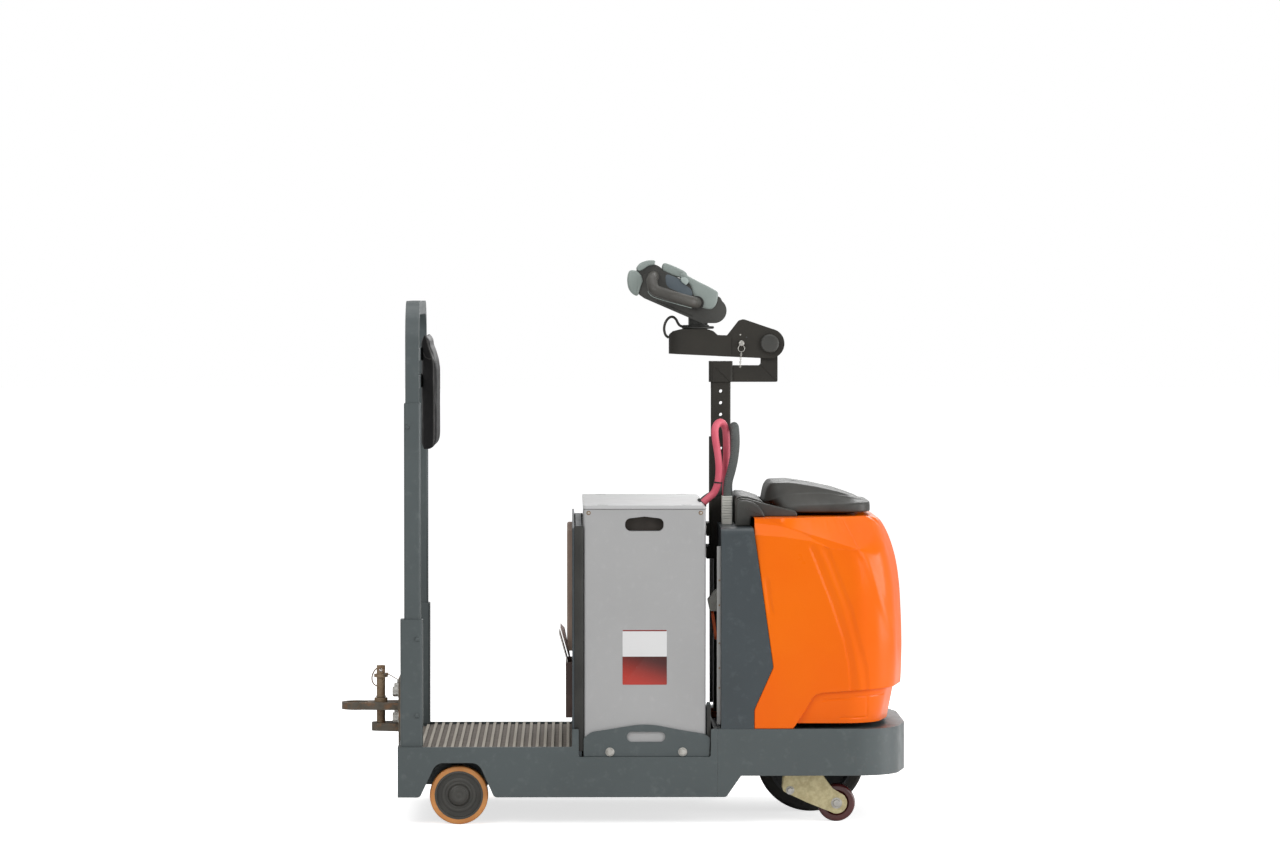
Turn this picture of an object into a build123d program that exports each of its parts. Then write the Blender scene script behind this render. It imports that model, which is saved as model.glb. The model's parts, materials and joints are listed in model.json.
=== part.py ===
"""Stand-up electric tow tractor: platform, battery bay, drive end and folding control arm.

Millimetres. +X is forward, +Y is the machine's left, +Z is up. The origin is on the floor, at the
middle of the length and the width.
"""
import math
import os

from build123d import *

# Whole machine
length = 1730.0
width = 820.0
front_x = length / 2
half_width = width / 2

# Fits
seat_gap = 0.3
running_gap = 0.3
swing_gap = 6.0

# Rear frame
hitch_reach = 187.5
rear_x = hitch_reach - front_x
seam_x = 285.0
skirt_bottom = 84.0
deck_top = 222.0
deck_edge = 235.5
plate = 12.0
deck_plate = 8.0
bay_rear_x = -133.0
bay_floor = 205.5
post_width = 20.0
rear_post_top = 289.5
rail_y = 270.0
rail_bottom = 110.0
cross_member_back = 40.0
stop_post_top = 365.0
mat_thickness = 12.0
mat_ribs = 22
mat_rib_width = 9.0

# Rear wheels
rear_wheel_x = rear_x + 183.5
rear_wheel_r = 88.0
rear_wheel_width = 56.0
rear_wheel_inset = 25.0
rear_tread = 15.0
rear_axle_r = 15.0
axle_beam = 50.0
arch_top = 188.0
arch_foot = (-117.0, 107.0)
arch_crown = (-68.0, 60.0)

# Backrest
backrest_x = rear_x + 19.5
upright_size = 49.5
upright_top = 1268.0
sleeve_wall = 6.0
sleeve_rear_wall = 11.5
upright_y = half_width - plate - seat_gap - upright_size / 2 - sleeve_wall
sleeve_top = 619.0
hoop_size = 41.0
hoop_top = 1577.0
hoop_corner = 120.0
hoop_insert = 120.0
cross_bar = 40.0
pad_width = 400.0
pad_bottom = 1113.0
pad_top = 1485.0
pad_thickness = 45.0

# Hitch
pin_x = rear_x - 66.5
pin_r = 13.3
pin_bottom = 246.5
pin_top = 449.5
ring_hole_r = 34.0
ring_rim = 14.0
ring_x = ring_hole_r + ring_rim - front_x
ring_plate_z = 315.0
ring_plate_thickness = 22.0
lug_z = 249.0
lug_thickness = 24.0
hitch_plate = 9.0
hitch_plate_z = (170.0, 415.0)
hitch_plate_half = 90.0
hitch_half_width = 55.0
hitch_bolt_y = 68.0
hitch_bolts_z = (295.0, 374.0)
hitch_bolt_r = 15.0
hitch_bolt_head = 16.0

# Battery bay
battery_rear_x = -118.0
battery_front_x = 250.0
battery_half_width = half_width - plate - 3.0
battery_top = 962.0
lid_thickness = 10.0
lid_bevel = 8.5
slot_x = 65.0
slot_z = (885.0, 922.0)
slot_width = 116.0
slot_peak = 7.0
slot_depth = 28.0
retainer_plate = 7.0
retainer_edge = [(263.0, 262.0, 6), (246.0, 274.0, 26), (172.0, 286.0, 120), (70.0, 306.0, 260),
                 (-30.0, 290.0, 120), (-94.0, 280.0, 26)]
retainer_slot = ((12.0, 128.0), (250.0, 281.0))
bulkhead_rear_x = -152.0
bulkhead_corner_z = 895.0
bulkhead_peak_z = 928.0
bulkhead_slope_y = 250.0
bulkhead_crown_y = 120.0
bulkhead_plate = 6.0
stop_rear_x = -142.0
stop_front_x = -124.0
stop_top = 901.0
spacer_height = 30.0
leg_pad_z = (515.0, 880.0)
leg_pad_thickness = 16.0
leg_pad_half_width = 270.0
pocket_z = (317.0, 485.0)
pocket_y = (-330.0, -110.0)
pocket_depth = 20.0
pocket_wall = 3.0
pocket_base = 4.0
sleeve_sheet = 3.0
sleeve_reach = 86.0
sleeve_lean = 24.0

# Front frame
bumper_bottom = 148.0
bumper_top = 289.0
bumper_wall = 12.0
bumper_corner_r = 140.0
bumper_crown_y = 180.0
bumper_crown = 50.0
bumper_crown_r = 200.0
panel_rear_x = 296.0
panel_top = 894.0
panel_wall = 6.0
panel_bend_r = 20.0
disconnect_y = -260.0
disconnect_z = 636.0
disconnect_width = 50.0
disconnect_height = 64.0
disconnect_depth = 37.0
loop_width = 58.0
loop_height = 88.0
loop_plate = 9.0
loop_band = 13.0
front_foot = (311.0, 356.0)
drive_opening_r = 150.0

# Drive unit
drive_x = front_x - 281.0
drive_wheel_r = 168.0
drive_wheel_width = 106.0
drive_tread = 32.0
turntable_r = 120.0
turntable_z = 345.0
mount_z = 360.0
mount_thickness = 14.0
mount_half_width = 205.0
mount_bore_r = 100.0
mount_reach = 180.0
mount_leg_inset = 34.0
gear_case_half = 80.0
gear_case_width = 62.0
drive_boss_r = 28.0
motor_r = 92.0
motor_top = 600.0

# Casters
caster_x = front_x - 273.0
caster_y = 300.0
caster_trail = 56.0
caster_r = 57.0
caster_width = 50.0
caster_axle_r = 8.0
fork_plate = 7.0
fork_gap = 3.0
fork_top = 141.0
stem_r = 22.0
stem_top = 215.0

# Drive cover
cover_wall = 5.0
cover_bottom = 289.5
cover_gap_top = 305.0
cover_top = 922.0

# Dash and tray
dash_top = 992.0
dash_front_x = 528.0
dash_half_width = 240.0
pod_top = 970.0
pod_front_x = 433.0
pod_half_width = 300.0
tray_rear_x = 468.0
tray_half_width = 228.0
tray_front_x = 764.0
hump_rear_x = 430.0
hump_half_width = 185.0
hump_profile = [(446.0, 1016.0, 10), (455.0, 1030.5, 12), (540.0, 1030.5, 60), (612.0, 1018.0, 160),
                (664.0, 1004.0, 100), (712.0, 987.0, 12), (724.0, 972.0, 10)]

# Column
column_x = 307.0
column_size = 60.0
column_wall = 5.0
column_top = 1384.0
column_foot = 800.0
sleeve_foot = 782.0
rail_half_width = 33.0
rail_front = panel_rear_x - 0.3
rail_rear = 286.5
sleeve_size = 71.0
sleeve_flange = 9.0
sleeve_top_z = 1157.0
post_holes_z = (1225.5, 1261.7, 1297.9)
sleeve_hole_z = 1120.7
height_hole_r = 5.5
arm_pivot_x = 456.7
arm_pivot_z = 1445.0
bracket_tube = 51.0
bracket_z = 1352.0
bracket_leg_r = 25.5
pivot_bolt_r = 10.0
eye_r = 46.0
cheek_inner_y = 27.0
cheek_outer_y = 41.0
knob_r = 28.5
knob_depth = 17.0

# Arm and handle
arm_rear_x = 146.5
arm_half_width = 46.0
arm_body_front_x = 338.0
arm_low_z = (1413.6, 1404.5)
arm_top_z = 1469.6
lock_pin_x = 369.6
lock_pin_r = 6.0
handle_x = 237.0
handle_base_z = 1491.0
handle_base_r = 46.0
handle_base_thickness = 11.0
handle_half_width = 58.0
grip_r = 17.0
grip_outer_y = 148.0
paddle_x = 88.0
paddle_z = 1639.0
paddle_r = 63.0
paddle_thickness = 11.0
paddle_arcs = ((72.0, 138.0), (156.0, 222.0))
grip_bend_r = 22.0
grip_route = [(98.0, 66.0, 1652.0), (92.0, grip_outer_y - 30, 1640.0), (96.0, grip_outer_y, 1610.0),
              (150.0, grip_outer_y, 1592.0), (214.0, grip_outer_y - 16, 1574.0), (232.0, 62.0, 1570.0)]
handle_nose = (285.0, 1546.5)
handle_nose_r = 38.5
handle_side = [(52.0, 1598.0, 10), (72.0, 1584.0, 10), (206.0, 1526.0, 20), (246.0, 1508.0, 10),
               (285.0, 1508.0, 0), (324.0, 1546.5, 38), (304.0, 1588.0, 14), (288.0, 1594.0, 8),
               (128.0, 1670.0, 10), (96.0, 1676.0, 8), (60.0, 1650.0, 10)]
handle_hood = [(134.0, 1667.5, 0), (284.0, 1596.3, 0), (288.0, 1602.0, 3), (199.0, 1655.0, 30),
               (134.0, 1689.0, 6)]


def block(x, y, z):
    """Box between two x, two y and two z values."""
    centre = ((x[0] + x[1]) / 2, (y[0] + y[1]) / 2, (z[0] + z[1]) / 2)
    return Pos(*centre) * Box(x[1] - x[0], y[1] - y[0], z[1] - z[0])


def outline(corners, place):
    """Closed wire through (u, v, radius) corners; place puts (u, v) in space."""
    return FilletPolyline([place(u, v) for u, v, _ in corners],
                          radius=[r for _, _, r in corners], close=True)


def side_slab(corners, y):
    """Slab with a side outline of (x, z, radius) corners, between two y values."""
    face = make_face(outline(corners, lambda u, v: (u, y[0], v)))
    return extrude(face, amount=y[1] - y[0], dir=(0, 1, 0))


def plan_slab(corners, z):
    """Slab with a plan outline of (x, y, radius) corners, between two z values."""
    face = make_face(outline(corners, lambda u, v: (u, v, z[0])))
    return extrude(face, amount=z[1] - z[0], dir=(0, 0, 1))


def front_slab(corners, x):
    """Slab with a front outline of (y, z, radius) corners, between two x values."""
    face = make_face(outline(corners, lambda u, v: (x[0], u, v)))
    return extrude(face, amount=x[1] - x[0], dir=(1, 0, 0))


def rod_y(x, z, r, y):
    """Round bar along Y."""
    centre = (x, (y[0] + y[1]) / 2, z)
    return Pos(*centre) * Rot(90, 0, 0) * Cylinder(r, abs(y[1] - y[0]))


def rod_z(x, y, r, z):
    """Round bar along Z."""
    return Pos(x, y, (z[0] + z[1]) / 2) * Cylinder(r, z[1] - z[0])


def turned_y(x, z, corners):
    """Solid of revolution about the line along Y through (x, z), from (y, r, radius) corners."""
    face = make_face(outline(corners, lambda u, v: (x, u, z + v)))
    return revolve(face, axis=Axis((x, 0, z), (0, 1, 0)))


def span(side, near, far):
    """Two y values on one side, low one first."""
    return tuple(sorted((side * near, side * far)))


def rear_frame():
    arch_rear = [rear_wheel_x + x for x in (arch_foot[0], arch_crown[0])]
    arch_front = [rear_wheel_x + x for x in (arch_crown[1], arch_foot[1])]
    front_post_x = seam_x - post_width
    rear_post_x = bay_rear_x - post_width
    corners = [(rear_x, skirt_bottom, 0), (arch_rear[0], skirt_bottom, 14), (arch_rear[1], arch_top, 34),
               (arch_front[0], arch_top, 34), (arch_front[1], skirt_bottom, 14),
               (seam_x, skirt_bottom, 0), (seam_x, bumper_top, 0), (front_post_x, bumper_top, 4),
               (front_post_x, bay_floor, 6), (bay_rear_x, bay_floor, 6),
               (bay_rear_x, rear_post_top, 4), (rear_post_x, rear_post_top, 4),
               (rear_post_x, deck_edge, 4), (rear_x, deck_edge, 0)]
    inner = half_width - plate
    frame = block((rear_x, rear_post_x), (-inner, inner), (deck_top - deck_plate, deck_top))
    frame += block((rear_post_x - plate, seam_x), (-inner, inner), (bay_floor - deck_plate, bay_floor))
    frame += block((rear_post_x - plate, rear_post_x), (-inner, inner), (bay_floor - deck_plate, deck_top))
    frame += block((rear_x, rear_x + plate), (-inner, inner), (skirt_bottom, deck_edge))
    frame += block((seam_x - plate, seam_x), (-inner, inner), (skirt_bottom, bumper_top))
    cross_x = rear_wheel_x + arch_foot[1] + cross_member_back
    frame += block((cross_x, cross_x + plate), (-inner, inner), (rail_bottom, deck_top))
    for side in (-1, 1):
        frame += side_slab(corners, span(side, inner, half_width))
        frame += block((rear_x + plate, seam_x - plate), span(side, rail_y, rail_y + plate),
                       (rail_bottom, bay_floor - deck_plate))
        frame += block((rear_x + plate, rear_post_x), span(side, rail_y, rail_y + plate),
                       (bay_floor - deck_plate - 2, deck_top - deck_plate))
        frame += side_slab([(front_post_x - plate, bay_floor, 0), (front_post_x, bay_floor, 0),
                            (front_post_x, stop_post_top, 5), (front_post_x - plate, stop_post_top, 5)],
                           span(side, inner - 60, battery_half_width - seat_gap))
    return frame


def floor_mat():
    x = (rear_x + plate, bay_rear_x - post_width - seat_gap)
    sole_top = deck_top + seat_gap + mat_thickness / 2
    half = half_width - plate - seat_gap
    mat = block(x, (-half, half), (deck_top + seat_gap, sole_top))
    pitch = (x[1] - x[0]) / mat_ribs
    for step in range(mat_ribs):
        start = x[0] + pitch * step + (pitch - mat_rib_width) / 2
        mat += block((start, start + mat_rib_width), (-half, half),
                     (sole_top, deck_top + seat_gap + mat_thickness))
    feet = rear_x + plate + upright_size + 2 * sleeve_wall + 2
    for side in (-1, 1):
        mat -= block((rear_x, feet), span(side, upright_y - upright_size / 2 - 8, half_width),
                     (deck_top, deck_edge + 10))
    return mat


def wheel_faces():
    """Outer and inner face of a rear wheel, as distances from the middle plane."""
    outer = half_width - rear_wheel_inset
    return outer - rear_wheel_width, outer


def rear_axle():
    inner, outer = wheel_faces()
    beam_end = inner - swing_gap
    half = axle_beam / 2
    axle = block((rear_wheel_x - half, rear_wheel_x + half), (-beam_end, beam_end),
                 (rear_wheel_r - half, rear_wheel_r + half))
    for side in (-1, 1):
        axle += rod_y(rear_wheel_x, rear_wheel_r, rear_axle_r, span(side, beam_end, outer - 8))
        hanger_y = rail_y - plate - seat_gap
        axle += side_slab([(rear_wheel_x - 60, deck_top - deck_plate - seat_gap, 0),
                           (rear_wheel_x - half, rear_wheel_r, 0), (rear_wheel_x + half, rear_wheel_r, 0),
                           (rear_wheel_x + 60, deck_top - deck_plate - seat_gap, 0)],
                          span(side, hanger_y, hanger_y + plate))
    return axle - sum_rails()


def sum_rails():
    """The space of the two inner rails with their seat gap, cut from the axle beam."""
    rails = [block((rear_x, seam_x), span(side, rail_y - seat_gap, rail_y + plate + seat_gap),
                   (rail_bottom - seat_gap, deck_top)) for side in (-1, 1)]
    return rails[0] + rails[1]


def rear_tyre(side):
    inner, outer = wheel_faces()
    a, b = span(side, inner, outer)
    core = rear_wheel_r - rear_tread
    return turned_y(rear_wheel_x, rear_wheel_r,
                    [(a, core, 0), (b, core, 0), (b, rear_wheel_r, 5), (a, rear_wheel_r, 5)])


def rear_hub(side):
    inner, outer = wheel_faces()
    core = rear_wheel_r - rear_tread - seat_gap / 3
    bore = rear_axle_r + running_gap
    rim = core - 7
    web = outer - 14
    boss = 30
    corners = [(inner, bore, 0), (web + 10, bore, 0), (web + 10, 6, 0), (outer - 1, 6, 0),
               (outer - 1, boss - 6, 4), (outer - 5, boss, 3), (web, boss + 4, 2), (web, rim, 3),
               (outer, rim + 1, 1), (outer, core, 0), (inner, core, 0)]
    return turned_y(rear_wheel_x, rear_wheel_r, [(side * y, r, radius) for y, r, radius in corners])


def backrest_sleeve(side):
    outer = upright_size / 2 + sleeve_wall
    x = backrest_x + upright_size / 2
    y = side * upright_y
    rear = backrest_x - sleeve_rear_wall
    sleeve = plan_slab([(rear, y - outer, 8), (x + outer, y - outer, 8),
                        (x + outer, y + outer, 8), (rear, y + outer, 8)],
                       (deck_edge + seat_gap, sleeve_top))
    sleeve += block((rear + plate, x + outer - 2), (y - outer + 2, y + outer - 2),
                    (deck_top + seat_gap, deck_edge + 2))
    bore = upright_size / 2 + seat_gap
    return sleeve - block((x - bore, x + bore), (y - bore, y + bore), (deck_top + 60, sleeve_top + 1))


def backrest_upright(side):
    half = upright_size / 2
    x = backrest_x + half
    y = side * upright_y
    tube = plan_slab([(x - half, y - half, 7), (x + half, y - half, 7),
                      (x + half, y + half, 7), (x - half, y + half, 7)],
                     (deck_top + 60 + seat_gap, upright_top))
    bore = hoop_size / 2 + seat_gap
    return tube - block((x - bore, x + bore), (y - bore, y + bore), (deck_top, upright_top + 1))


def backrest_hoop():
    half = hoop_size / 2
    x = backrest_x + upright_size / 2
    foot = upright_top - hoop_insert
    outer_y = upright_y + half
    inner_y = upright_y - half
    hoop = front_slab([(-outer_y, foot, 0), (outer_y, foot, 0), (outer_y, hoop_top, hoop_corner),
                       (-outer_y, hoop_top, hoop_corner)], (x - half, x + half))
    hoop -= front_slab([(-inner_y, foot - 1, 0), (inner_y, foot - 1, 0),
                        (inner_y, hoop_top - hoop_size, hoop_corner - hoop_size),
                        (-inner_y, hoop_top - hoop_size, hoop_corner - hoop_size)],
                       (x - half - 1, x + half + 1))
    for z in (pad_bottom + 200, pad_top - 90):
        hoop += block((x + half - 8, x + half), (-inner_y - 1, inner_y + 1), (z, z + cross_bar))
    return hoop


def backrest_pad():
    x = backrest_x + upright_size / 2 + hoop_size / 2 + seat_gap
    top_x = x + pad_thickness * 0.35
    face = x + pad_thickness
    return side_slab([(x, pad_bottom, 6), (x + pad_thickness * 0.75, pad_bottom + 8, 20),
                      (face, pad_bottom + 50, 60), (face, pad_top - 100, 60), (top_x, pad_top, 6),
                      (x, pad_top, 4)], (-pad_width / 2, pad_width / 2))


def hitch_bracket():
    """Back plate with its bolt heads and the lower lug, bored for the pin."""
    face = rear_x - seat_gap - hitch_plate
    half = hitch_plate_half
    bracket = front_slab([(-half, hitch_plate_z[0], 10), (half, hitch_plate_z[0], 10),
                          (half, hitch_plate_z[1], 14), (-half, hitch_plate_z[1], 14)],
                         (face, rear_x - seat_gap))
    half = hitch_half_width
    nose = pin_x - 28
    bracket += plan_slab([(face + 1, -half, 0), (nose, -half * 0.55, 20), (nose, half * 0.55, 20),
                          (face + 1, half, 0)], (lug_z, lug_z + lug_thickness))
    for side in (-1, 1):
        for z in hitch_bolts_z:
            head = Plane(origin=(face + 1, side * hitch_bolt_y, z), z_dir=(-1, 0, 0))
            bracket += extrude(head * RegularPolygon(hitch_bolt_r, 6), amount=hitch_bolt_head + 1)
    return bracket - rod_z(pin_x, 0, pin_r + seat_gap, (lug_z - 1, lug_z + lug_thickness + 1))


def hitch_ring():
    """Tow ring in one plate with the tongue that the pin passes through, welded to the back plate."""
    reach = ring_hole_r + ring_rim
    z = (ring_plate_z, ring_plate_z + ring_plate_thickness)
    root = rear_x - 2 * seat_gap - hitch_plate
    ring = rod_z(ring_x, 0, reach, z)
    ring += plan_slab([(ring_x, -reach * 0.9, 0), (root, -hitch_half_width, 0), (root, hitch_half_width, 0),
                       (ring_x, reach * 0.9, 0)], z)
    ring -= rod_z(ring_x, 0, ring_hole_r, (z[0] - 1, z[1] + 1))
    return ring - rod_z(pin_x, 0, pin_r + seat_gap, (z[0] - 1, z[1] + 1))


def hitch_pin():
    pin = rod_z(pin_x, 0, pin_r, (pin_bottom, pin_top))
    pin = chamfer(pin.edges().group_by(Axis.Z)[0], 4)
    collar_z = ring_plate_z + ring_plate_thickness + seat_gap
    pin += rod_z(pin_x, 0, pin_r + 7, (collar_z, collar_z + 12))
    head_z = pin_top - 36
    pin += rod_z(pin_x, 0, pin_r + 8, (head_z, head_z + 9))
    return pin - rod_y(pin_x, head_z + 22, 5, (-30, 30))


def battery_bulkhead():
    inner = half_width - plate - seat_gap
    slope_y, slope_z = bulkhead_slope_y, bulkhead_corner_z + plate
    wall = front_slab([(-inner, bay_floor + seat_gap, 0), (inner, bay_floor + seat_gap, 0),
                       (inner, bulkhead_corner_z, 12), (slope_y, slope_z, 0),
                       (bulkhead_crown_y, bulkhead_peak_z, 60), (-bulkhead_crown_y, bulkhead_peak_z, 60),
                       (-slope_y, slope_z, 0), (-inner, bulkhead_corner_z, 12)],
                      (bulkhead_rear_x, bulkhead_rear_x + bulkhead_plate))
    stop = front_slab([(-inner, bay_floor + seat_gap, 0), (inner, bay_floor + seat_gap, 0),
                       (inner, stop_top, 14), (-inner, stop_top, 14)], (stop_rear_x, stop_front_x))
    spacers = [block((bulkhead_rear_x + 1, stop_front_x - 1), (-inner + 40, inner - 40), (z, z + spacer_height))
               for z in (bay_floor + 40, stop_top - 2 * spacer_height)]
    return wall + stop + spacers[0] + spacers[1]


def leg_pad():
    x = (bulkhead_rear_x - leg_pad_thickness, bulkhead_rear_x - seat_gap)
    pad = block(x, (-leg_pad_half_width, leg_pad_half_width), leg_pad_z)
    return fillet(pad.edges().group_by(Axis.X)[0], 6)


def document_pocket():
    x = (bulkhead_rear_x - pocket_depth, bulkhead_rear_x - seat_gap)
    pocket = block(x, pocket_y, pocket_z)
    pocket = fillet(pocket.edges().filter_by(Axis.Z).group_by(Axis.X)[0], 5)
    hollow = block((x[0] + pocket_wall, x[1] - pocket_wall), (pocket_y[0] + 4, pocket_y[1] - 4),
                   (pocket_z[0] + pocket_base, pocket_z[1] + 1))
    return pocket - hollow


def document_sleeve():
    """Sheet that stands in the pocket and leans out above its rim."""
    outer = bulkhead_rear_x - pocket_depth + pocket_wall + seat_gap
    foot = pocket_z[0] + pocket_base + seat_gap
    bend = pocket_z[1] + 1
    tip_z = pocket_z[1] + sleeve_reach
    tip_x = outer - sleeve_lean
    inner = outer + sleeve_sheet
    return side_slab([(outer, foot, 0), (inner, foot, 0), (inner, bend, 0), (tip_x + sleeve_sheet, tip_z, 0),
                      (tip_x, tip_z, 0), (outer, bend, 0)],
                     (pocket_y[0] + 20, pocket_y[1] - 30))


def battery_case():
    top = battery_top - lid_thickness - seat_gap
    half = battery_half_width
    corners = [(battery_rear_x, -half, 8), (battery_front_x, -half, 8),
               (battery_front_x, half, 8), (battery_rear_x, half, 8)]
    case = plan_slab(corners, (bay_floor + seat_gap, top))
    reach = slot_width / 2
    low, top = slot_z
    slot = [(slot_x - reach, low, 17), (slot_x + reach, low, 17), (slot_x + reach, top, 17),
            (slot_x, top + slot_peak, 12), (slot_x - reach, top, 17)]
    for side in (-1, 1):
        case -= side_slab(slot, span(side, half - slot_depth, half + 1))
    return case


def battery_lid():
    half = battery_half_width + 2
    x = (battery_rear_x - 2, battery_front_x + 2)
    lid = plan_slab([(x[0], -half, 9), (x[1], -half, 9), (x[1], half, 9), (x[0], half, 9)],
                    (battery_top - lid_thickness, battery_top))
    bevel = side_slab([(x[1] - lid_bevel, battery_top, 0), (x[1] + 1, battery_top - lid_bevel - 1, 0),
                       (x[1] + 1, battery_top + 1, 0), (x[1] - lid_bevel, battery_top + 1, 0)],
                      (-half - 1, half + 1))
    return lid - bevel


def battery_retainer(side):
    z = bay_floor + seat_gap
    corners = [(battery_rear_x, z, 4), (retainer_edge[0][0] - 3, z, 4), *retainer_edge,
               (battery_rear_x, retainer_edge[0][1], 8)]
    near = battery_half_width + seat_gap
    retainer = side_slab(corners, span(side, near, near + retainer_plate))
    (left, right), (low, high) = retainer_slot
    slot = [(left, low, 15), (right, low, 15), (right, high, 15), (left, high, 15)]
    return retainer - side_slab(slot, span(side, near - 1, near + retainer_plate + 1))


def cable_tube(points, radius, name):
    """Round tube along straight runs joined by tangent arcs, with the arcs' radii printed."""
    runs = [Vector(*b) - Vector(*a) for a, b in zip(points, points[1:])]
    radii = []
    for before, after in zip(runs, runs[1:]):
        half_turn = math.radians(before.get_angle(after)) / 2
        radii.append(0.45 * min(before.length, after.length) / math.tan(half_turn))
    print(name, "bend radii", [round(r) for r in radii])
    path = FilletPolyline(*points, radius=radii)
    start = Plane(origin=points[0], z_dir=runs[0])
    tube = sweep(start * Circle(radius), path=path)
    print(name, "length", round(path.length), "volume ratio",
          round(tube.volume / (math.pi * radius ** 2 * path.length), 4))
    return tube


cable_r = 11.5
dark_cable_r = 13.5
lead_r = 4.0
exit_x = battery_front_x + 2 - lid_bevel / 2 + 0.2
exit_z = battery_top - lid_bevel / 2 + 0.2
connector_x = 321.5
connector_y = -134.0
connector_top = 980.0
connector_half = (15.5, 36.0)
red_route = [(exit_x, -150, exit_z), (263, -150, exit_z + 263 - exit_x), (284, -151, 989), (296, -153, 1026),
             (298, -153, 1070), (293, -155, 1115), (285, -157, 1158), (284, -157, 1192), (302, -134, 1210),
             (319, -112, 1190), (322, -110, 1150), (322, -109, 1105), (320, -109, 1058), (319, -110, 1016),
             (319, -110, connector_top + seat_gap)]
dark_route = [(exit_x, -92, exit_z), (262, -92, exit_z + 262 - exit_x), (290, -86, 984), (318, -78, 1006),
              (333, -76, 1044), (337, -76, 1090), (339, -77, 1135), (341, -78, 1176), (345, -113, 1198),
              (347, -148, 1176), (348, -151, 1136), (343, -151, 1092), (334, -149, 1052), (323.5, -148, 1018),
              (323.5, -148, connector_top + seat_gap)]


def battery_cable_red():
    return cable_tube(red_route, cable_r, "battery_cable_red")


def battery_cable_dark():
    return cable_tube(dark_route, dark_cable_r, "battery_cable_dark")


def battery_connector():
    z = (panel_top + seat_gap, connector_top)
    half = connector_half
    body = block((connector_x - half[0], connector_x + half[0]),
                 (connector_y - half[1], connector_y + half[1]), z)
    body = fillet(body.edges().filter_by(Axis.Z), 3)
    for step in range(9):
        groove = z[0] + 14 + step * 8
        body -= block((connector_x - half[0] - 1, connector_x + half[0] + 1),
                      (connector_y - half[1] - 1, connector_y - half[1] + 1.5), (groove, groove + 3))
    return body


def disconnect_block():
    x = panel_rear_x - seat_gap
    y = (disconnect_y - disconnect_width / 2, disconnect_y + disconnect_width / 2)
    top = disconnect_z + disconnect_height
    nose = x - disconnect_depth
    return side_slab([(x, disconnect_z, 3), (x, top, 3), (x - disconnect_depth / 3, top, 4),
                      (nose, top - disconnect_depth * 0.8, 6), (nose + 7, disconnect_z, 4)], y)


def disconnect_loop():
    def ring(shrink, radius, x):
        half, reach = loop_width / 2 - shrink, loop_height / 2 - shrink
        return front_slab([(-half, -reach, radius), (half, -reach, radius), (half, reach, radius),
                           (-half, reach, radius)], x)
    loop = ring(0, 20, (-loop_plate / 2, loop_plate / 2)) - ring(loop_band, 10, (-loop_plate, loop_plate))
    centre_z = disconnect_z - loop_height / 2 - seat_gap
    return Pos(panel_rear_x - 17, disconnect_y, centre_z) * Rot(0, -8, 0) * loop


def bumper_outline(inset, rear):
    """Plan outline of the drive end, drawn in by an inset on the sides and the front."""
    side_y = half_width - inset
    front = front_x - inset
    corner = front - bumper_crown
    radius = bumper_corner_r - inset
    return [(rear, -side_y, 0), (corner, -side_y, radius), (front, -bumper_crown_y, bumper_crown_r),
            (front, bumper_crown_y, bumper_crown_r), (corner, side_y, radius), (rear, side_y, 0)]


def front_frame():
    rear = seam_x + seat_gap
    shell = plan_slab(bumper_outline(0, rear), (bumper_bottom, bumper_top))
    shell -= plan_slab(bumper_outline(bumper_wall, rear + bumper_wall),
                       (bumper_bottom - 1, bumper_top - bumper_wall))
    shell -= rod_z(drive_x, 0, drive_opening_r, (bumper_bottom, bumper_top + 1))
    foot = [(rear, skirt_bottom, 0), (front_foot[0], skirt_bottom, 10), (front_foot[1], bumper_bottom, 10),
            (front_foot[1], bumper_bottom + 10, 0), (rear, bumper_bottom + 10, 0)]
    for side in (-1, 1):
        shell += side_slab(foot, span(side, half_width - bumper_wall, half_width))
    inner = half_width - bumper_wall
    shell += block((rear, rear + bumper_wall), (-inner, inner), (skirt_bottom, bumper_bottom + 1))
    return shell


panel_edge = [(393.0, 894.0), (452.0, 475.0), (394.7, 347.0), (394.7, 289.0)]


def panel_side(shift, low, high):
    """Everything behind the panel's slanted front edge, moved by a shift."""
    edge = [(x + shift, z) for x, z in panel_edge]
    top_x = edge[0][0] - (edge[1][0] - edge[0][0]) / (edge[0][1] - edge[1][1]) * (high - edge[0][1])
    corners = [(panel_rear_x - 100, low, 0), (edge[3][0], low, 0), (edge[2][0], edge[2][1], 8),
               (edge[1][0], edge[1][1], 8), (top_x, high, 0), (panel_rear_x - 100, high, 0)]
    return side_slab(corners, (-half_width - 10, half_width + 10))


def front_bulkhead():
    def shell(inset):
        half = half_width - inset
        top = panel_top - inset
        box = front_slab([(-half, bumper_top - inset + seat_gap, 0), (half, bumper_top - inset + seat_gap, 0),
                          (half, top, panel_bend_r - inset), (-half, top, panel_bend_r - inset)],
                         (panel_rear_x + inset, 500 + inset))
        return box
    panel = (shell(0) - shell(panel_wall)) & panel_side(0, bumper_top, panel_top + 20)
    half = sleeve_size / 2 + seat_gap
    return panel - block((column_x - half, column_x + half), (-half, half),
                         (sleeve_foot - seat_gap, panel_top + 1))


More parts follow.
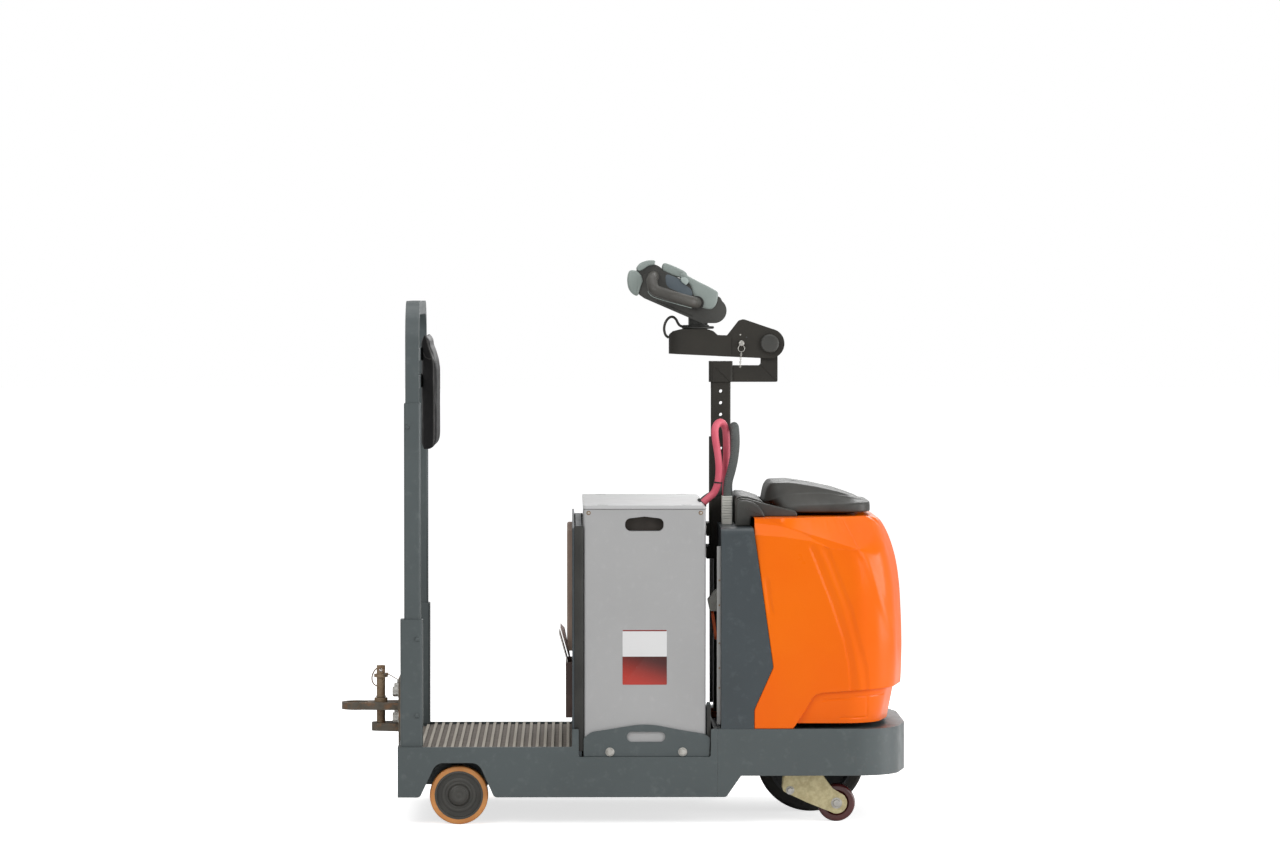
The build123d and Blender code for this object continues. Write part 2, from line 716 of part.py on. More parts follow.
# Plan sizes of the drive cover: height, setback from the front, setback of the sides, corner radius
cover_sections = [(289.0, 16.0, 3.0, 135.0), (411.0, 6.0, 2.0, 135.0), (490.0, 3.0, 2.0, 135.0),
                  (560.0, 3.0, 2.0, 135.0), (654.0, 6.5, 3.0, 133.0), (720.0, 11.0, 4.5, 130.0),
                  (792.0, 23.0, 8.0, 126.0), (854.0, 43.5, 13.0, 121.0), (896.0, 68.0, 18.0, 115.0),
                  (922.0, 96.0, 22.0, 108.0)]
cover_lower = [(289.0, 45.0, 20.0, 118.0), (340.0, 35.0, 15.0, 121.0), (400.0, 23.0, 11.0, 125.0)]
cover_corner_back = 50.0
shoulder_rear = (393.0, 908.0)
shoulder_front = (660.0, 828.0)
shoulder_side = 8.0
shoulder_top = (720.0, 180.0, 922.0)
step_foot = (500.0, 513.0, 289.0)
step_knee = (572.0, 384.0)
step_end = (900.0, 412.0)
crease_band = [(569.9, 841.0, 0), (624.5, 825.7, 0), (669.2, 731.2, 80), (709.1, 606.7, 200),
               (734.0, 482.5, 200), (741.5, 417.0, 0), (694.1, 420.0, 0), (681.5, 507.4, 200),
               (654.5, 631.9, 200), (614.6, 751.0, 80)]
crease_depth = 2.5


def cover_loft(sections, inset, rear):
    faces = []
    for height, setback, side_setback, radius in sections:
        f = front_x - setback - inset
        h = half_width - side_setback - inset
        z = height - (inset if height > shoulder_rear[1] else 0)
        crown = f - cover_corner_back
        corners = [(rear, -h, 0), (crown, -h, radius - inset), (f, -bumper_crown_y, bumper_crown_r),
                   (f, bumper_crown_y, bumper_crown_r), (crown, h, radius - inset), (rear, h, 0)]
        faces.append(make_face(outline(corners, lambda u, v, z=z: (u, v, z))))
    return loft(faces, ruled=True)


def shoulder_cut(side, inset):
    """Space above the sloping shoulder, as a large block on the shoulder's plane."""
    side_y = side * (half_width - shoulder_side)
    low_rear = Vector(shoulder_rear[0], side_y, shoulder_rear[1])
    low_front = Vector(shoulder_front[0], side_y, shoulder_front[1])
    high = Vector(shoulder_top[0], side * (half_width - shoulder_top[1]), shoulder_top[2])
    normal = (low_front - low_rear).cross(high - low_rear).normalized()
    if normal.Z < 0:
        normal = normal * -1
    plane = Plane(origin=low_front - normal * inset, x_dir=(low_front - low_rear), z_dir=normal)
    return plane * Pos(0, 0, half_width) * Box(2 * length, 2 * length, width)


def cover_body(inset):
    """Upper shell over the step line joined to the narrower lower shell, drawn in by an inset."""
    rear = panel_rear_x + 10
    reach = half_width + 90
    upper = cover_loft(cover_sections, inset, rear)
    for side in (-1, 1):
        upper -= shoulder_cut(side, inset)
    step = side_slab([(step_foot[0] - inset, bumper_bottom, 0), (step_foot[1] - inset, step_foot[2], 0),
                      (step_knee[0] - inset, step_knee[1] + inset, 40), (step_end[0], step_end[1] + inset, 0),
                      (step_end[0], bumper_bottom, 0)], (-reach, reach))
    upper -= step
    lower = cover_loft(cover_lower, inset, rear + 180)
    low = cover_gap_top if inset == 0 else cover_bottom - 40
    lower &= block((step_foot[0] - inset, step_end[0]), (-reach, reach), (low, cover_lower[-1][0]))
    return upper + lower


def drive_cover():
    outer = cover_body(0)
    for side in (-1, 1):
        near = half_width - cover_sections[3][2] - crease_depth
        outer -= side_slab(crease_band, span(side, near, half_width + 1))
    shell = outer - cover_body(cover_wall)
    shell -= panel_side(1.0, bumper_bottom, cover_top + 1)
    return shell - block((0, length), (-width, width), (bumper_bottom, cover_bottom))


def dash_console():
    """Centre console sloping down under the tray, between two lower pods with rounded shoulders."""
    z = cover_top + seat_gap
    rear = column_x + sleeve_size / 2 + 3
    low = panel_top + seat_gap
    step_x = panel_edge[0][0] - 8
    centre = [(rear, low, 0), (rear, dash_top - 7, 12), (rear + 28, dash_top, 30),
              (rear + 88, dash_top - 26, 60), (dash_front_x, z + 15, 8), (dash_front_x, z, 0),
              (step_x, z, 0), (step_x, low, 0)]
    body = side_slab(centre, (-dash_half_width, dash_half_width))
    body -= block((hump_rear_x - 4, dash_front_x + 1), (-tray_half_width - 4, tray_half_width + 4),
                  (low, dash_top))
    for side in (-1, 1):
        pod = side_slab([(rear, low, 0), (rear, pod_top, 12), (pod_front_x, pod_top, 28), (pod_front_x, z, 0),
                         (step_x, z, 0), (step_x, low, 0)], span(side, dash_half_width - 5, pod_half_width))
        outer = pod.faces().sort_by(Axis.Y)[-1 if side > 0 else 0]
        body += fillet(outer.edges().filter_by(lambda e: e.center().Z > pod_top - 40), 8)
    return body


def top_tray():
    """Tray with a sloping rim on a smaller foot, and the hump that closes it on top."""
    z = cover_top + seat_gap
    foot = [(530, -190, 40), (720, -190, 70), (720, 190, 70), (530, 190, 40)]
    tray = plan_slab(foot, (z, z + 9))
    levels = [(z + 9, -2, 3, 90), (z + 20, 0, 0, 92), (z + 34, -12, 15, 85)]
    faces = []
    for height, rear_shift, inset, radius in levels:
        rear, front, half = tray_rear_x - rear_shift, tray_front_x - inset, tray_half_width - inset
        corners = [(rear, -half, 50), (front, -half, radius), (front, half, radius), (rear, half, 50)]
        faces.append(make_face(outline(corners, lambda u, v, h=height: (u, v, h))))
    tray += loft(faces)
    hump = [(hump_rear_x, z + 6, 0), *hump_profile, (740, z + 6, 0)]
    return tray + side_slab(hump, (-hump_half_width, hump_half_width))


def square_tube(size, wall, z):
    """Upright square tube about the column's axis."""
    half = size / 2
    corners = [(column_x - half, -half, 6), (column_x + half, -half, 6),
               (column_x + half, half, 6), (column_x - half, half, 6)]
    bore = half - wall
    hollow = block((column_x - bore, column_x + bore), (-bore, bore), (z[0] - 1, z[1] + 1))
    return plan_slab(corners, z) - hollow


def column_sleeve():
    """Square sleeve with two clamp flanges and the flat rail that carries it on the bulkhead."""
    wall = (sleeve_size - column_size) / 2 - seat_gap
    sleeve = square_tube(sleeve_size, wall, (sleeve_foot, sleeve_top_z))
    half = sleeve_size / 2
    rear = column_x - half - sleeve_flange
    for z in (sleeve_foot, sleeve_foot + 70):
        sleeve += block((rear, column_x - half + 2), (-half - 22, half + 22), (z, z + 40))
    sleeve += block((rail_rear, rail_front), (-rail_half_width, rail_half_width),
                    (bumper_top + seat_gap, column_foot - plate))
    return sleeve - rod_y(column_x, sleeve_hole_z, height_hole_r, (-half - 1, half + 1))


def column_post():
    post = square_tube(column_size, column_wall, (column_foot, column_top))
    for z in (sleeve_hole_z, *post_holes_z):
        post -= rod_y(column_x, z, height_hole_r, (-column_size, column_size))
    return post


def column_bracket():
    half = bracket_tube / 2
    outer = column_size / 2 + 6
    bore = column_size / 2 + seat_gap
    cap_top = column_top + seat_gap + 6
    low = bracket_z - half
    cap = plan_slab([(column_x - outer, -outer, 8), (column_x + outer, -outer, 8),
                     (column_x + outer, outer, 8), (column_x - outer, outer, 8)], (low, cap_top))
    cap -= block((column_x - bore, column_x + bore), (-bore, bore), (low - 1, column_top + seat_gap))
    right = arm_pivot_x + bracket_leg_r
    beam = side_slab([(column_x + bore, low, 0), (right, low, 6), (right, arm_pivot_z, 0),
                      (right - 2 * bracket_leg_r, arm_pivot_z, 0),
                      (right - 2 * bracket_leg_r, bracket_z + half, 8), (column_x + bore, bracket_z + half, 0)],
                     (-half, half))
    beam += rod_y(arm_pivot_x, arm_pivot_z, bracket_leg_r, (-half, half))
    beam -= rod_y(arm_pivot_x, arm_pivot_z, pivot_bolt_r + running_gap, (-half - 1, half + 1))
    return cap + beam


def arm_outline():
    eye_top = (arm_pivot_x + 20.3, arm_pivot_z + 41.3)
    return [(300, 1406, 0), (arm_pivot_x, arm_pivot_z - eye_r, 0), (arm_pivot_x, arm_pivot_z, 0),
            (eye_top[0], eye_top[1], 0), (378, 1520, 12), (364, 1516, 12), (328, arm_top_z, 8),
            (300, arm_top_z, 0)]


def control_arm():
    half = arm_half_width
    seat = handle_base_z - 1
    body = side_slab([(arm_rear_x, arm_low_z[0], 0), (arm_body_front_x, arm_low_z[1], 0),
                      (arm_body_front_x, arm_top_z, 6), (297, arm_top_z + 1.4, 6), (283, 1484, 8),
                      (264, seat, 4), (190, seat, 8), (160, 1483, 10), (arm_rear_x, 1472, 8)], (-half, half))
    corner = half - 1
    body &= plan_slab([(arm_rear_x, -half, corner), (arm_body_front_x + 1, -half, 0),
                       (arm_body_front_x + 1, half, 0), (arm_rear_x, half, corner)], (1390, 1530))
    for side in (-1, 1):
        y = span(side, cheek_inner_y, cheek_outer_y)
        cheek = side_slab(arm_outline(), y) + rod_y(arm_pivot_x, arm_pivot_z, eye_r, y)
        cheek -= rod_y(arm_pivot_x, arm_pivot_z, pivot_bolt_r + seat_gap, y)
        body += cheek
    pin_hole = lock_pin_r + seat_gap
    body -= rod_y(lock_pin_x, arm_pivot_z + 1, pin_hole, (-60, 0))
    return body


def pivot_knob():
    face = cheek_outer_y + seat_gap
    bolt = rod_y(arm_pivot_x, arm_pivot_z, pivot_bolt_r, (-face - 1, face + 1))
    for side in (-1, 1):
        cap = [(face, 0, 0), (face + knob_depth, 0, 0), (face + knob_depth, knob_r - 3, 3),
               (face + knob_depth - 5, knob_r, 3), (face, knob_r, 0)]
        bolt += turned_y(arm_pivot_x, arm_pivot_z, [(side * y, r, radius) for y, r, radius in cap])
    return bolt


def lock_pin():
    z = arm_pivot_z + 1
    pin = rod_y(lock_pin_x, z, lock_pin_r, (-cheek_outer_y - 14, -cheek_inner_y - 1))
    pin += rod_y(lock_pin_x, z, 8.5, (-cheek_outer_y - 14, -cheek_outer_y - seat_gap))
    return pin


def handle_base():
    """The fixed lower disc on the arm that the handle turns on."""
    top = handle_base_z + handle_base_thickness
    disc = rod_z(handle_x, 0, handle_base_r, (handle_base_z - 1 + seat_gap, top - 6))
    disc += rod_z(handle_x, 0, handle_base_r - 12, (top - 7, top))
    return disc + block((lead_exit_x, handle_x - 30), (-9, 9), (top - 9, top))


def handle_body():
    top = handle_base_z + handle_base_thickness + running_gap
    half = handle_half_width
    wedge = side_slab(handle_side, (-half, half))
    wedge += rod_y(handle_nose[0], handle_nose[1], handle_nose_r, (-half, half))
    drum = rod_y(paddle_x, paddle_z, paddle_r - paddle_thickness - seat_gap, (-half + 4, half - 4))
    neck = rod_z(handle_x, 0, 30, (top, 1530))
    return wedge + drum + neck


def handle_cover():
    half = handle_half_width - 8
    return side_slab(handle_hood, (-half, half))


def handle_grips():
    grips = None
    for side in (-1, 1):
        route = [(x, side * y, z) for x, y, z in grip_route]
        path = FilletPolyline(*route, radius=grip_bend_r)
        start = Plane(origin=route[0], z_dir=Vector(*route[1]) - Vector(*route[0]))
        tube = sweep(start * Circle(grip_r), path=path)
        grips = tube if grips is None else grips + tube
    return grips


def handle_paddles():
    paddles = None
    for side in (-1, 1):
        y = span(side, 12, handle_half_width + 6)
        ring = rod_y(paddle_x, paddle_z, paddle_r, y)
        ring -= rod_y(paddle_x, paddle_z, paddle_r - paddle_thickness, (y[0] - 1, y[1] + 1))
        for low_angle, high_angle in paddle_arcs:
            points = [(paddle_x, paddle_z, 0)]
            for angle in (low_angle, (low_angle + high_angle) / 2, high_angle):
                points.append((paddle_x + 2 * paddle_r * math.cos(math.radians(angle)),
                               paddle_z + 2 * paddle_r * math.sin(math.radians(angle)), 0))
            wedge = side_slab(points, (y[0] - 1, y[1] + 1))
            piece = ring & wedge
            paddles = piece if paddles is None else paddles + piece
    return paddles


lead_exit_x = handle_x - 46
lead_route = [(lead_exit_x - seat_gap, 0, 1497), (173, 0, 1497), (165, 0, 1511), (156, 0, 1523), (142, 0, 1524),
              (131, 0, 1512), (127, 0, 1494), (129, 0, 1475), (137, 0, 1463), (arm_rear_x - seat_gap, 0, 1463)]


def handle_lead():
    return cable_tube(lead_route, lead_r, "handle_lead")


def drive_mount():
    half = mount_half_width
    x = (drive_x - mount_reach, drive_x + mount_reach)
    leg = (x[0] + mount_leg_inset, x[1] - mount_leg_inset)
    base = bumper_top + seat_gap
    top = mount_z + mount_thickness
    mount = plan_slab([(x[0], -half, 30), (x[1], -half, 30), (x[1], half, 30), (x[0], half, 30)],
                      (mount_z, top))
    for side in (-1, 1):
        mount += block(x, span(side, half - plate, half), (base, top - 2)) & plan_slab(
            [(leg[0], -half, 0), (leg[1], -half, 0), (leg[1], half, 0), (leg[0], half, 0)], (base, top))
    return mount - rod_z(drive_x, 0, mount_bore_r, (mount_z - 1, top + 1))


def drive_gearbox():
    near = drive_wheel_width / 2 + 5
    far = near + gear_case_width
    reach = gear_case_half
    spindle = rod_z(drive_x, 0, mount_bore_r - running_gap, (turntable_z - 1, mount_z + mount_thickness + 4))
    table = rod_z(drive_x, 0, turntable_r, (turntable_z, mount_z - running_gap))
    case = side_slab([(drive_x - reach, turntable_z + 1, 0), (drive_x - reach, drive_wheel_r, 20),
                      (drive_x - reach * 0.75, drive_wheel_r - reach / 2, 40),
                      (drive_x, drive_wheel_r - reach + 2, 60),
                      (drive_x + reach * 0.75, drive_wheel_r - reach / 2, 40),
                      (drive_x + reach, drive_wheel_r, 20), (drive_x + reach, turntable_z + 1, 0)], (near, far))
    hub = rod_y(drive_x, drive_wheel_r, drive_boss_r, (near - 60, near + 1))
    return table + spindle + case + hub


def drive_motor():
    base = mount_z + mount_thickness + 4 + seat_gap
    motor = rod_z(drive_x, 0, motor_r, (base, motor_top))
    return motor + rod_z(drive_x, 0, motor_r - 30, (motor_top - 1, motor_top + 40))


def drive_tyre():
    half = drive_wheel_width / 2
    core = drive_wheel_r - drive_tread
    return turned_y(drive_x, drive_wheel_r, [(-half, core, 0), (half, core, 0), (half, drive_wheel_r, 12),
                                             (-half, drive_wheel_r, 12)])


def drive_hub():
    half = drive_wheel_width / 2
    core = drive_wheel_r - drive_tread - seat_gap / 3
    bore = drive_boss_r + running_gap
    return turned_y(drive_x, drive_wheel_r,
                    [(half, bore, 0), (-2, bore, 0), (-2, 10, 0), (-half + 18, 10, 0), (-half + 18, 40, 6),
                     (-half + 30, 70, 8), (-half + 12, core - 12, 6), (-half, core - 8, 2), (-half, core, 0),
                     (half, core, 0)])


def caster_centre(side):
    return caster_x, side * caster_y


def caster_mount(side):
    x, y = caster_centre(side)
    top = bumper_top - bumper_wall - seat_gap
    boss = rod_z(x, y, 44, (fork_top + swing_gap + 32, top))
    boss += plan_slab([(x - 70, y - 60, 12), (x + 70, y - 60, 12), (x + 70, y + 60, 12), (x - 70, y + 60, 12)],
                      (top - 12, top))
    return boss - rod_z(x, y, stem_r + running_gap, (fork_top, stem_top + 6))


def caster_fork(side):
    x, y = caster_centre(side)
    axle_x = x + caster_trail
    near = caster_width / 2 + fork_gap
    side_corners = [(x - 104, fork_top, 8), (x - 108, 94, 12), (x - 36, 60, 20), (axle_x - 18, 30, 0),
                    (axle_x, caster_r, 0), (axle_x + 25, 78, 0), (x + 44, 102, 10), (x + 14, fork_top, 4)]
    fork = plan_slab([(x - 100, y - near - fork_plate, 6), (x + 14, y - near - fork_plate, 6),
                      (x + 14, y + near + fork_plate, 6), (x - 100, y + near + fork_plate, 6)],
                     (fork_top - 8, fork_top))
    for way in (-1, 1):
        ys = tuple(sorted((y + way * near, y + way * (near + fork_plate))))
        fork += side_slab(side_corners, ys) + rod_y(axle_x, caster_r, 32, ys)
    fork += rod_y(axle_x, caster_r, caster_axle_r, (y - near - 1, y + near + 1))
    fork += rod_z(x, y, stem_r, (fork_top - 4, stem_top))
    fork += rod_z(x, y, 42, (fork_top - 1, fork_top + 26))
    return fork


def caster_wheel(side):
    x, y = caster_centre(side)
    half = caster_width / 2
    bore = caster_axle_r + running_gap
    corners = [(y - half, bore, 0), (y + half, bore, 0), (y + half, 20, 3), (y + half - 7, 24, 3),
               (y + half - 7, 34, 3), (y + half - 2, 38, 2), (y + half - 2, caster_r, 9),
               (y - half + 2, caster_r, 9), (y - half + 2, 38, 2), (y - half + 7, 34, 3),
               (y - half + 7, 24, 3), (y - half, 20, 3)]
    return turned_y(x + caster_trail, caster_r, corners)


def paired(make):
    """Node makers for one piece on the right and the like piece on the left."""
    return {"right": lambda: make(-1), "left": lambda: make(1)}


def both(make):
    """Maker for a node that holds the right and the left piece as two solids."""
    return lambda: Compound(children=[Compound(make(side).solids()) for side in (-1, 1)])


nodes = {
    "rear_frame": rear_frame, "floor_mat": floor_mat, "rear_axle": rear_axle,
    "backrest_sleeves": both(backrest_sleeve), "backrest_uprights": both(backrest_upright),
    "backrest_hoop": backrest_hoop, "backrest_pad": backrest_pad,
    "hitch_bracket": hitch_bracket, "hitch_ring": hitch_ring, "hitch_pin": hitch_pin,
    "battery_bulkhead": battery_bulkhead, "leg_pad": leg_pad, "document_pocket": document_pocket,
    "document_sleeve": document_sleeve, "battery_case": battery_case, "battery_lid": battery_lid,
    "battery_retainers": both(battery_retainer), "battery_cable_red": battery_cable_red,
    "battery_cable_dark": battery_cable_dark, "battery_connector": battery_connector,
    "disconnect_block": disconnect_block, "disconnect_loop": disconnect_loop,
    "front_frame": front_frame, "front_bulkhead": front_bulkhead, "drive_cover": drive_cover,
    "dash_console": dash_console, "top_tray": top_tray, "column_sleeve": column_sleeve,
    "column_post": column_post, "column_bracket": column_bracket, "control_arm": control_arm,
    "pivot_knob": pivot_knob, "lock_pin": lock_pin, "handle_base": handle_base, "handle_lead": handle_lead,
    "handle_body": handle_body, "handle_cover": handle_cover, "handle_grips": handle_grips,
    "handle_paddles": handle_paddles, "drive_mount": drive_mount, "drive_gearbox": drive_gearbox,
    "drive_motor": drive_motor, "drive_tyre": drive_tyre, "drive_hub": drive_hub,
    "caster_mounts": both(caster_mount),
}
for name, make in {"rear_tyre": rear_tyre, "rear_hub": rear_hub, "caster_fork": caster_fork,
                   "caster_wheel": caster_wheel}.items():
    for side_name, build in paired(make).items():
        nodes[f"{name}_{side_name}"] = build

os.makedirs("parts", exist_ok=True)
for name, build in nodes.items():
    export_step(build(), f"parts/{name}.step")
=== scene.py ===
"""Stand-up electric tow tractor: looks, small pieces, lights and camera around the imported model.

Metres, in the row frame: +X forward, +Y the machine's left, +Z up.
"""
import json
import math

import bmesh
import bpy
from mathutils import Matrix, Vector, noise


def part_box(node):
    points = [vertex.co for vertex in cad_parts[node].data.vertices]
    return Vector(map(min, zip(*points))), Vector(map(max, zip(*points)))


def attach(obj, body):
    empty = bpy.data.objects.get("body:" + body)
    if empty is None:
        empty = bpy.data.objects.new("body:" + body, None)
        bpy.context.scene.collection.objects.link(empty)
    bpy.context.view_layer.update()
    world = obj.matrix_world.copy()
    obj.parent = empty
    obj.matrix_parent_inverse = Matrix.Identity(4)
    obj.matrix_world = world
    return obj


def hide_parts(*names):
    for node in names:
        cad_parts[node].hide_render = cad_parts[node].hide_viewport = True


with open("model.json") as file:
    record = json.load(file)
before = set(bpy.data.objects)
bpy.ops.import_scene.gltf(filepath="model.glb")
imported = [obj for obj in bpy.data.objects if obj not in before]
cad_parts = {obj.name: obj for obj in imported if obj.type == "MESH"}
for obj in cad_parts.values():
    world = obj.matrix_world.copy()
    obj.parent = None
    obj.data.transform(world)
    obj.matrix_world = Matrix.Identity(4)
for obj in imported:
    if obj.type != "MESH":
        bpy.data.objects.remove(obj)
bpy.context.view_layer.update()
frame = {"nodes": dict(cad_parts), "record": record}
nodes = frame["nodes"]
scene = bpy.context.scene

# Camera

CAMERA_X = -0.1585
CAMERA_Y = -14.11
CAMERA_Z = 1.612
CAMERA_LENS = 128.4
CAMERA_YAW = 0.878
CAMERA_PITCH = 1.733


def make_camera():
    data = bpy.data.cameras.new("camera")
    data.lens = CAMERA_LENS
    data.sensor_width = 36.0
    data.sensor_fit = "HORIZONTAL"
    data.clip_end = 200.0
    camera = bpy.data.objects.new("camera", data)
    scene.collection.objects.link(camera)
    camera.location = (CAMERA_X, CAMERA_Y, CAMERA_Z)
    camera.rotation_euler = (math.radians(90 - CAMERA_PITCH), 0, math.radians(-CAMERA_YAW))
    scene.camera = camera


# Colours and materials


def linear(red, green, blue):
    """Linear colour from 0-255 display values."""
    return tuple((v / 255 / 12.92) if v <= 10 else ((v / 255 + 0.055) / 1.055) ** 2.4
                 for v in (red, green, blue)) + (1.0,)


def scaled(color, factor):
    """A colour made darker or lighter by a factor."""
    return tuple(min(1, c * factor) for c in color[:3]) + (1,)


class Finish:
    """A procedural material and the nodes that build it."""

    def __init__(self, name, rough=0.5, metal=0.0, coat=0.0, coat_rough=0.08, specular=0.5):
        self.material = bpy.data.materials.new(name)
        self.material.use_nodes = True
        self.tree = self.material.node_tree
        self.shader = self.tree.nodes["Principled BSDF"]
        for socket, value in {"Roughness": rough, "Metallic": metal, "Coat Weight": coat,
                              "Coat Roughness": coat_rough, "Specular IOR Level": specular}.items():
            self.shader.inputs[socket].default_value = value
        self.place = self.node("ShaderNodeTexCoord").outputs["Object"]

    def node(self, kind, **settings):
        made = self.tree.nodes.new(kind)
        for key, value in settings.items():
            setattr(made, key, value)
        return made

    def link(self, source, target):
        self.tree.links.new(source, target)

    def stretched(self, x, y, z):
        """Object coordinates with a scale along each axis."""
        mapping = self.node("ShaderNodeMapping")
        mapping.inputs["Scale"].default_value = (x, y, z)
        self.link(self.place, mapping.inputs["Vector"])
        return mapping.outputs["Vector"]

    def noise(self, scale, detail=3.0, rough=0.5, place=None):
        made = self.node("ShaderNodeTexNoise")
        made.inputs["Scale"].default_value = scale
        made.inputs["Detail"].default_value = detail
        made.inputs["Roughness"].default_value = rough
        self.link(place or self.place, made.inputs["Vector"])
        return made.outputs["Fac"]

    def cells(self, scale, feature="F1"):
        made = self.node("ShaderNodeTexVoronoi", feature=feature)
        made.inputs["Scale"].default_value = scale
        self.link(self.place, made.inputs["Vector"])
        return made.outputs["Distance"]

    def wave(self, scale, direction="Z", distortion=0.0, place=None):
        made = self.node("ShaderNodeTexWave", wave_type="BANDS", bands_direction=direction)
        made.inputs["Scale"].default_value = scale
        made.inputs["Distortion"].default_value = distortion
        self.link(place or self.place, made.inputs["Vector"])
        return made.outputs["Fac"]

    def ramp(self, source, low, high, from_value=0.0, to_value=1.0):
        made = self.node("ShaderNodeMapRange", interpolation_type="SMOOTHSTEP")
        made.inputs["From Min"].default_value = low
        made.inputs["From Max"].default_value = high
        made.inputs["To Min"].default_value = from_value
        made.inputs["To Max"].default_value = to_value
        self.link(source, made.inputs["Value"])
        return made.outputs["Result"]

    def math(self, operation, a, b):
        made = self.node("ShaderNodeMath", operation=operation)
        for socket, value in zip(made.inputs, (a, b)):
            if isinstance(value, (int, float)):
                socket.default_value = value
            else:
                self.link(value, socket)
        return made.outputs["Value"]

    def mix(self, share, a, b):
        made = self.node("ShaderNodeMix", data_type="RGBA")
        for index, value in ((0, share), (6, a), (7, b)):
            socket = made.inputs[index]
            if isinstance(value, (int, float, tuple)):
                socket.default_value = value
            else:
                self.link(value, socket)
        return made.outputs[2]

    def edges(self, radius=0.0015):
        """1 along the solid's edges, broken up by a noise, and 0 on its faces."""
        bevel = self.node("ShaderNodeBevel", samples=4)
        bevel.inputs["Radius"].default_value = radius
        flat = self.node("ShaderNodeNewGeometry")
        dot = self.node("ShaderNodeVectorMath", operation="DOT_PRODUCT")
        self.link(bevel.outputs["Normal"], dot.inputs[0])
        self.link(flat.outputs["Normal"], dot.inputs[1])
        bent = self.math("SUBTRACT", 1.0, dot.outputs["Value"])
        return self.math("MULTIPLY", self.ramp(bent, 0.02, 0.25), self.ramp(self.noise(60, 3), 0.35, 0.65))

    def color(self, socket):
        self.link(socket, self.shader.inputs["Base Color"])

    def rough(self, socket):
        self.link(socket, self.shader.inputs["Roughness"])

    def bump(self, heights, bevel=0.0015):
        """Surface relief from (height, strength, distance) and edges rounded to a small radius."""
        normal = None
        if bevel:
            rounded = self.node("ShaderNodeBevel", samples=4)
            rounded.inputs["Radius"].default_value = bevel
            normal = rounded.outputs["Normal"]
        for height, strength, distance in heights:
            bump = self.node("ShaderNodeBump")
            bump.inputs["Strength"].default_value = strength
            bump.inputs["Distance"].default_value = distance
            self.link(height, bump.inputs["Height"])
            if normal is not None:
                self.link(normal, bump.inputs["Normal"])
            normal = bump.outputs["Normal"]
        if normal is not None:
            self.link(normal, self.shader.inputs["Normal"])


def painted(name, color, light_tone, rough=0.42, coat=0.25, peel=420, strength=0.05, mottle=0.5):
    """Sprayed paint: fine orange peel, slow colour drift, edges rubbed lighter."""
    f = Finish(name, rough=rough, coat=coat, coat_rough=0.22)
    drift = f.ramp(f.noise(4.0, 4), 0.3, 0.7)
    base = f.mix(drift, scaled(color, 1 - 0.10 * mottle), scaled(color, 1 + 0.10 * mottle))
    dust = f.ramp(f.noise(38, 5, 0.6), 0.52, 0.8, 0, 0.12)
    base = f.mix(dust, base, light_tone)
    f.color(f.mix(f.math("MULTIPLY", f.edges(), 0.45), base, light_tone))
    f.rough(f.ramp(f.noise(22, 3), 0.2, 0.8, rough - 0.05, rough + 0.08))
    f.bump([(f.noise(peel, 2), strength, 0.0006)], 0.002)
    return f.material


def grained(name, color, light, rough=0.55, scale=1500, strength=0.25):
    """Moulded plastic or rubber with a fine leathery grain."""
    f = Finish(name, rough=rough)
    drift = f.ramp(f.noise(9.0, 4), 0.35, 0.7, 0, 0.5)
    base = f.mix(drift, color, light)
    speck = f.ramp(f.noise(310, 3, 0.7), 0.55, 0.8, 0, 0.25)
    f.color(f.mix(f.math("MULTIPLY", f.edges(), 0.4), f.mix(speck, base, light), light))
    f.rough(f.ramp(f.noise(30, 3), 0.2, 0.8, rough - 0.07, rough + 0.08))
    f.bump([(f.cells(scale), strength, 0.0004), (f.noise(160, 2), 0.06, 0.001)], 0.002)
    return f.material


def powder_coat(name, color, light):
    """Textured powder coat with a fine pebbled surface."""
    f = Finish(name, rough=0.62, specular=0.4)
    drift = f.ramp(f.noise(7.0, 4), 0.3, 0.75, 0, 0.6)
    pebble = f.ramp(f.noise(900, 2), 0.35, 0.7, 0, 0.35)
    base = f.mix(pebble, f.mix(drift, color, light), light)
    f.color(f.mix(f.math("MULTIPLY", f.edges(), 0.5), base, scaled(light, 2.2)))
    f.bump([(f.noise(900, 2), 0.25, 0.0005), (f.noise(240, 2), 0.10, 0.0008)], 0.002)
    return f.material


def bare_steel(name, color, dark, rough=0.35, metal=0.9):
    """Plated or bare steel with fine scratches and cloudy patches."""
    f = Finish(name, rough=rough, metal=metal)
    cloud = f.ramp(f.noise(70, 5, 0.6), 0.3, 0.7)
    f.color(f.mix(f.math("MULTIPLY", cloud, 0.55), color, dark))
    f.rough(f.ramp(f.noise(130, 4), 0.2, 0.8, rough - 0.1, rough + 0.18))
    f.bump([(f.noise(300, 2, place=f.stretched(1, 1, 6)), 0.08, 0.0004)], 0.0012)
    return f.material


def weathered_steel(name, color, rust, bright):
    """Dark steel with rust in patches and rubbed bright places."""
    f = Finish(name, rough=0.6, metal=0.35)
    patches = f.ramp(f.noise(26, 6, 0.65), 0.48, 0.64)
    specks = f.ramp(f.noise(240, 4, 0.7), 0.55, 0.75, 0, 0.7)
    base = f.mix(f.math("MULTIPLY", patches, 0.75), color, rust)
    base = f.mix(f.math("MULTIPLY", specks, 0.5), base, rust)
    f.color(f.mix(f.math("MULTIPLY", f.edges(0.002), 0.7), base, bright))
    f.rough(f.ramp(f.noise(60, 4), 0.2, 0.8, 0.45, 0.8))
    f.bump([(f.noise(320, 4, 0.7), 0.35, 0.0008), (f.noise(45, 3), 0.2, 0.002)], 0.002)
    return f.material


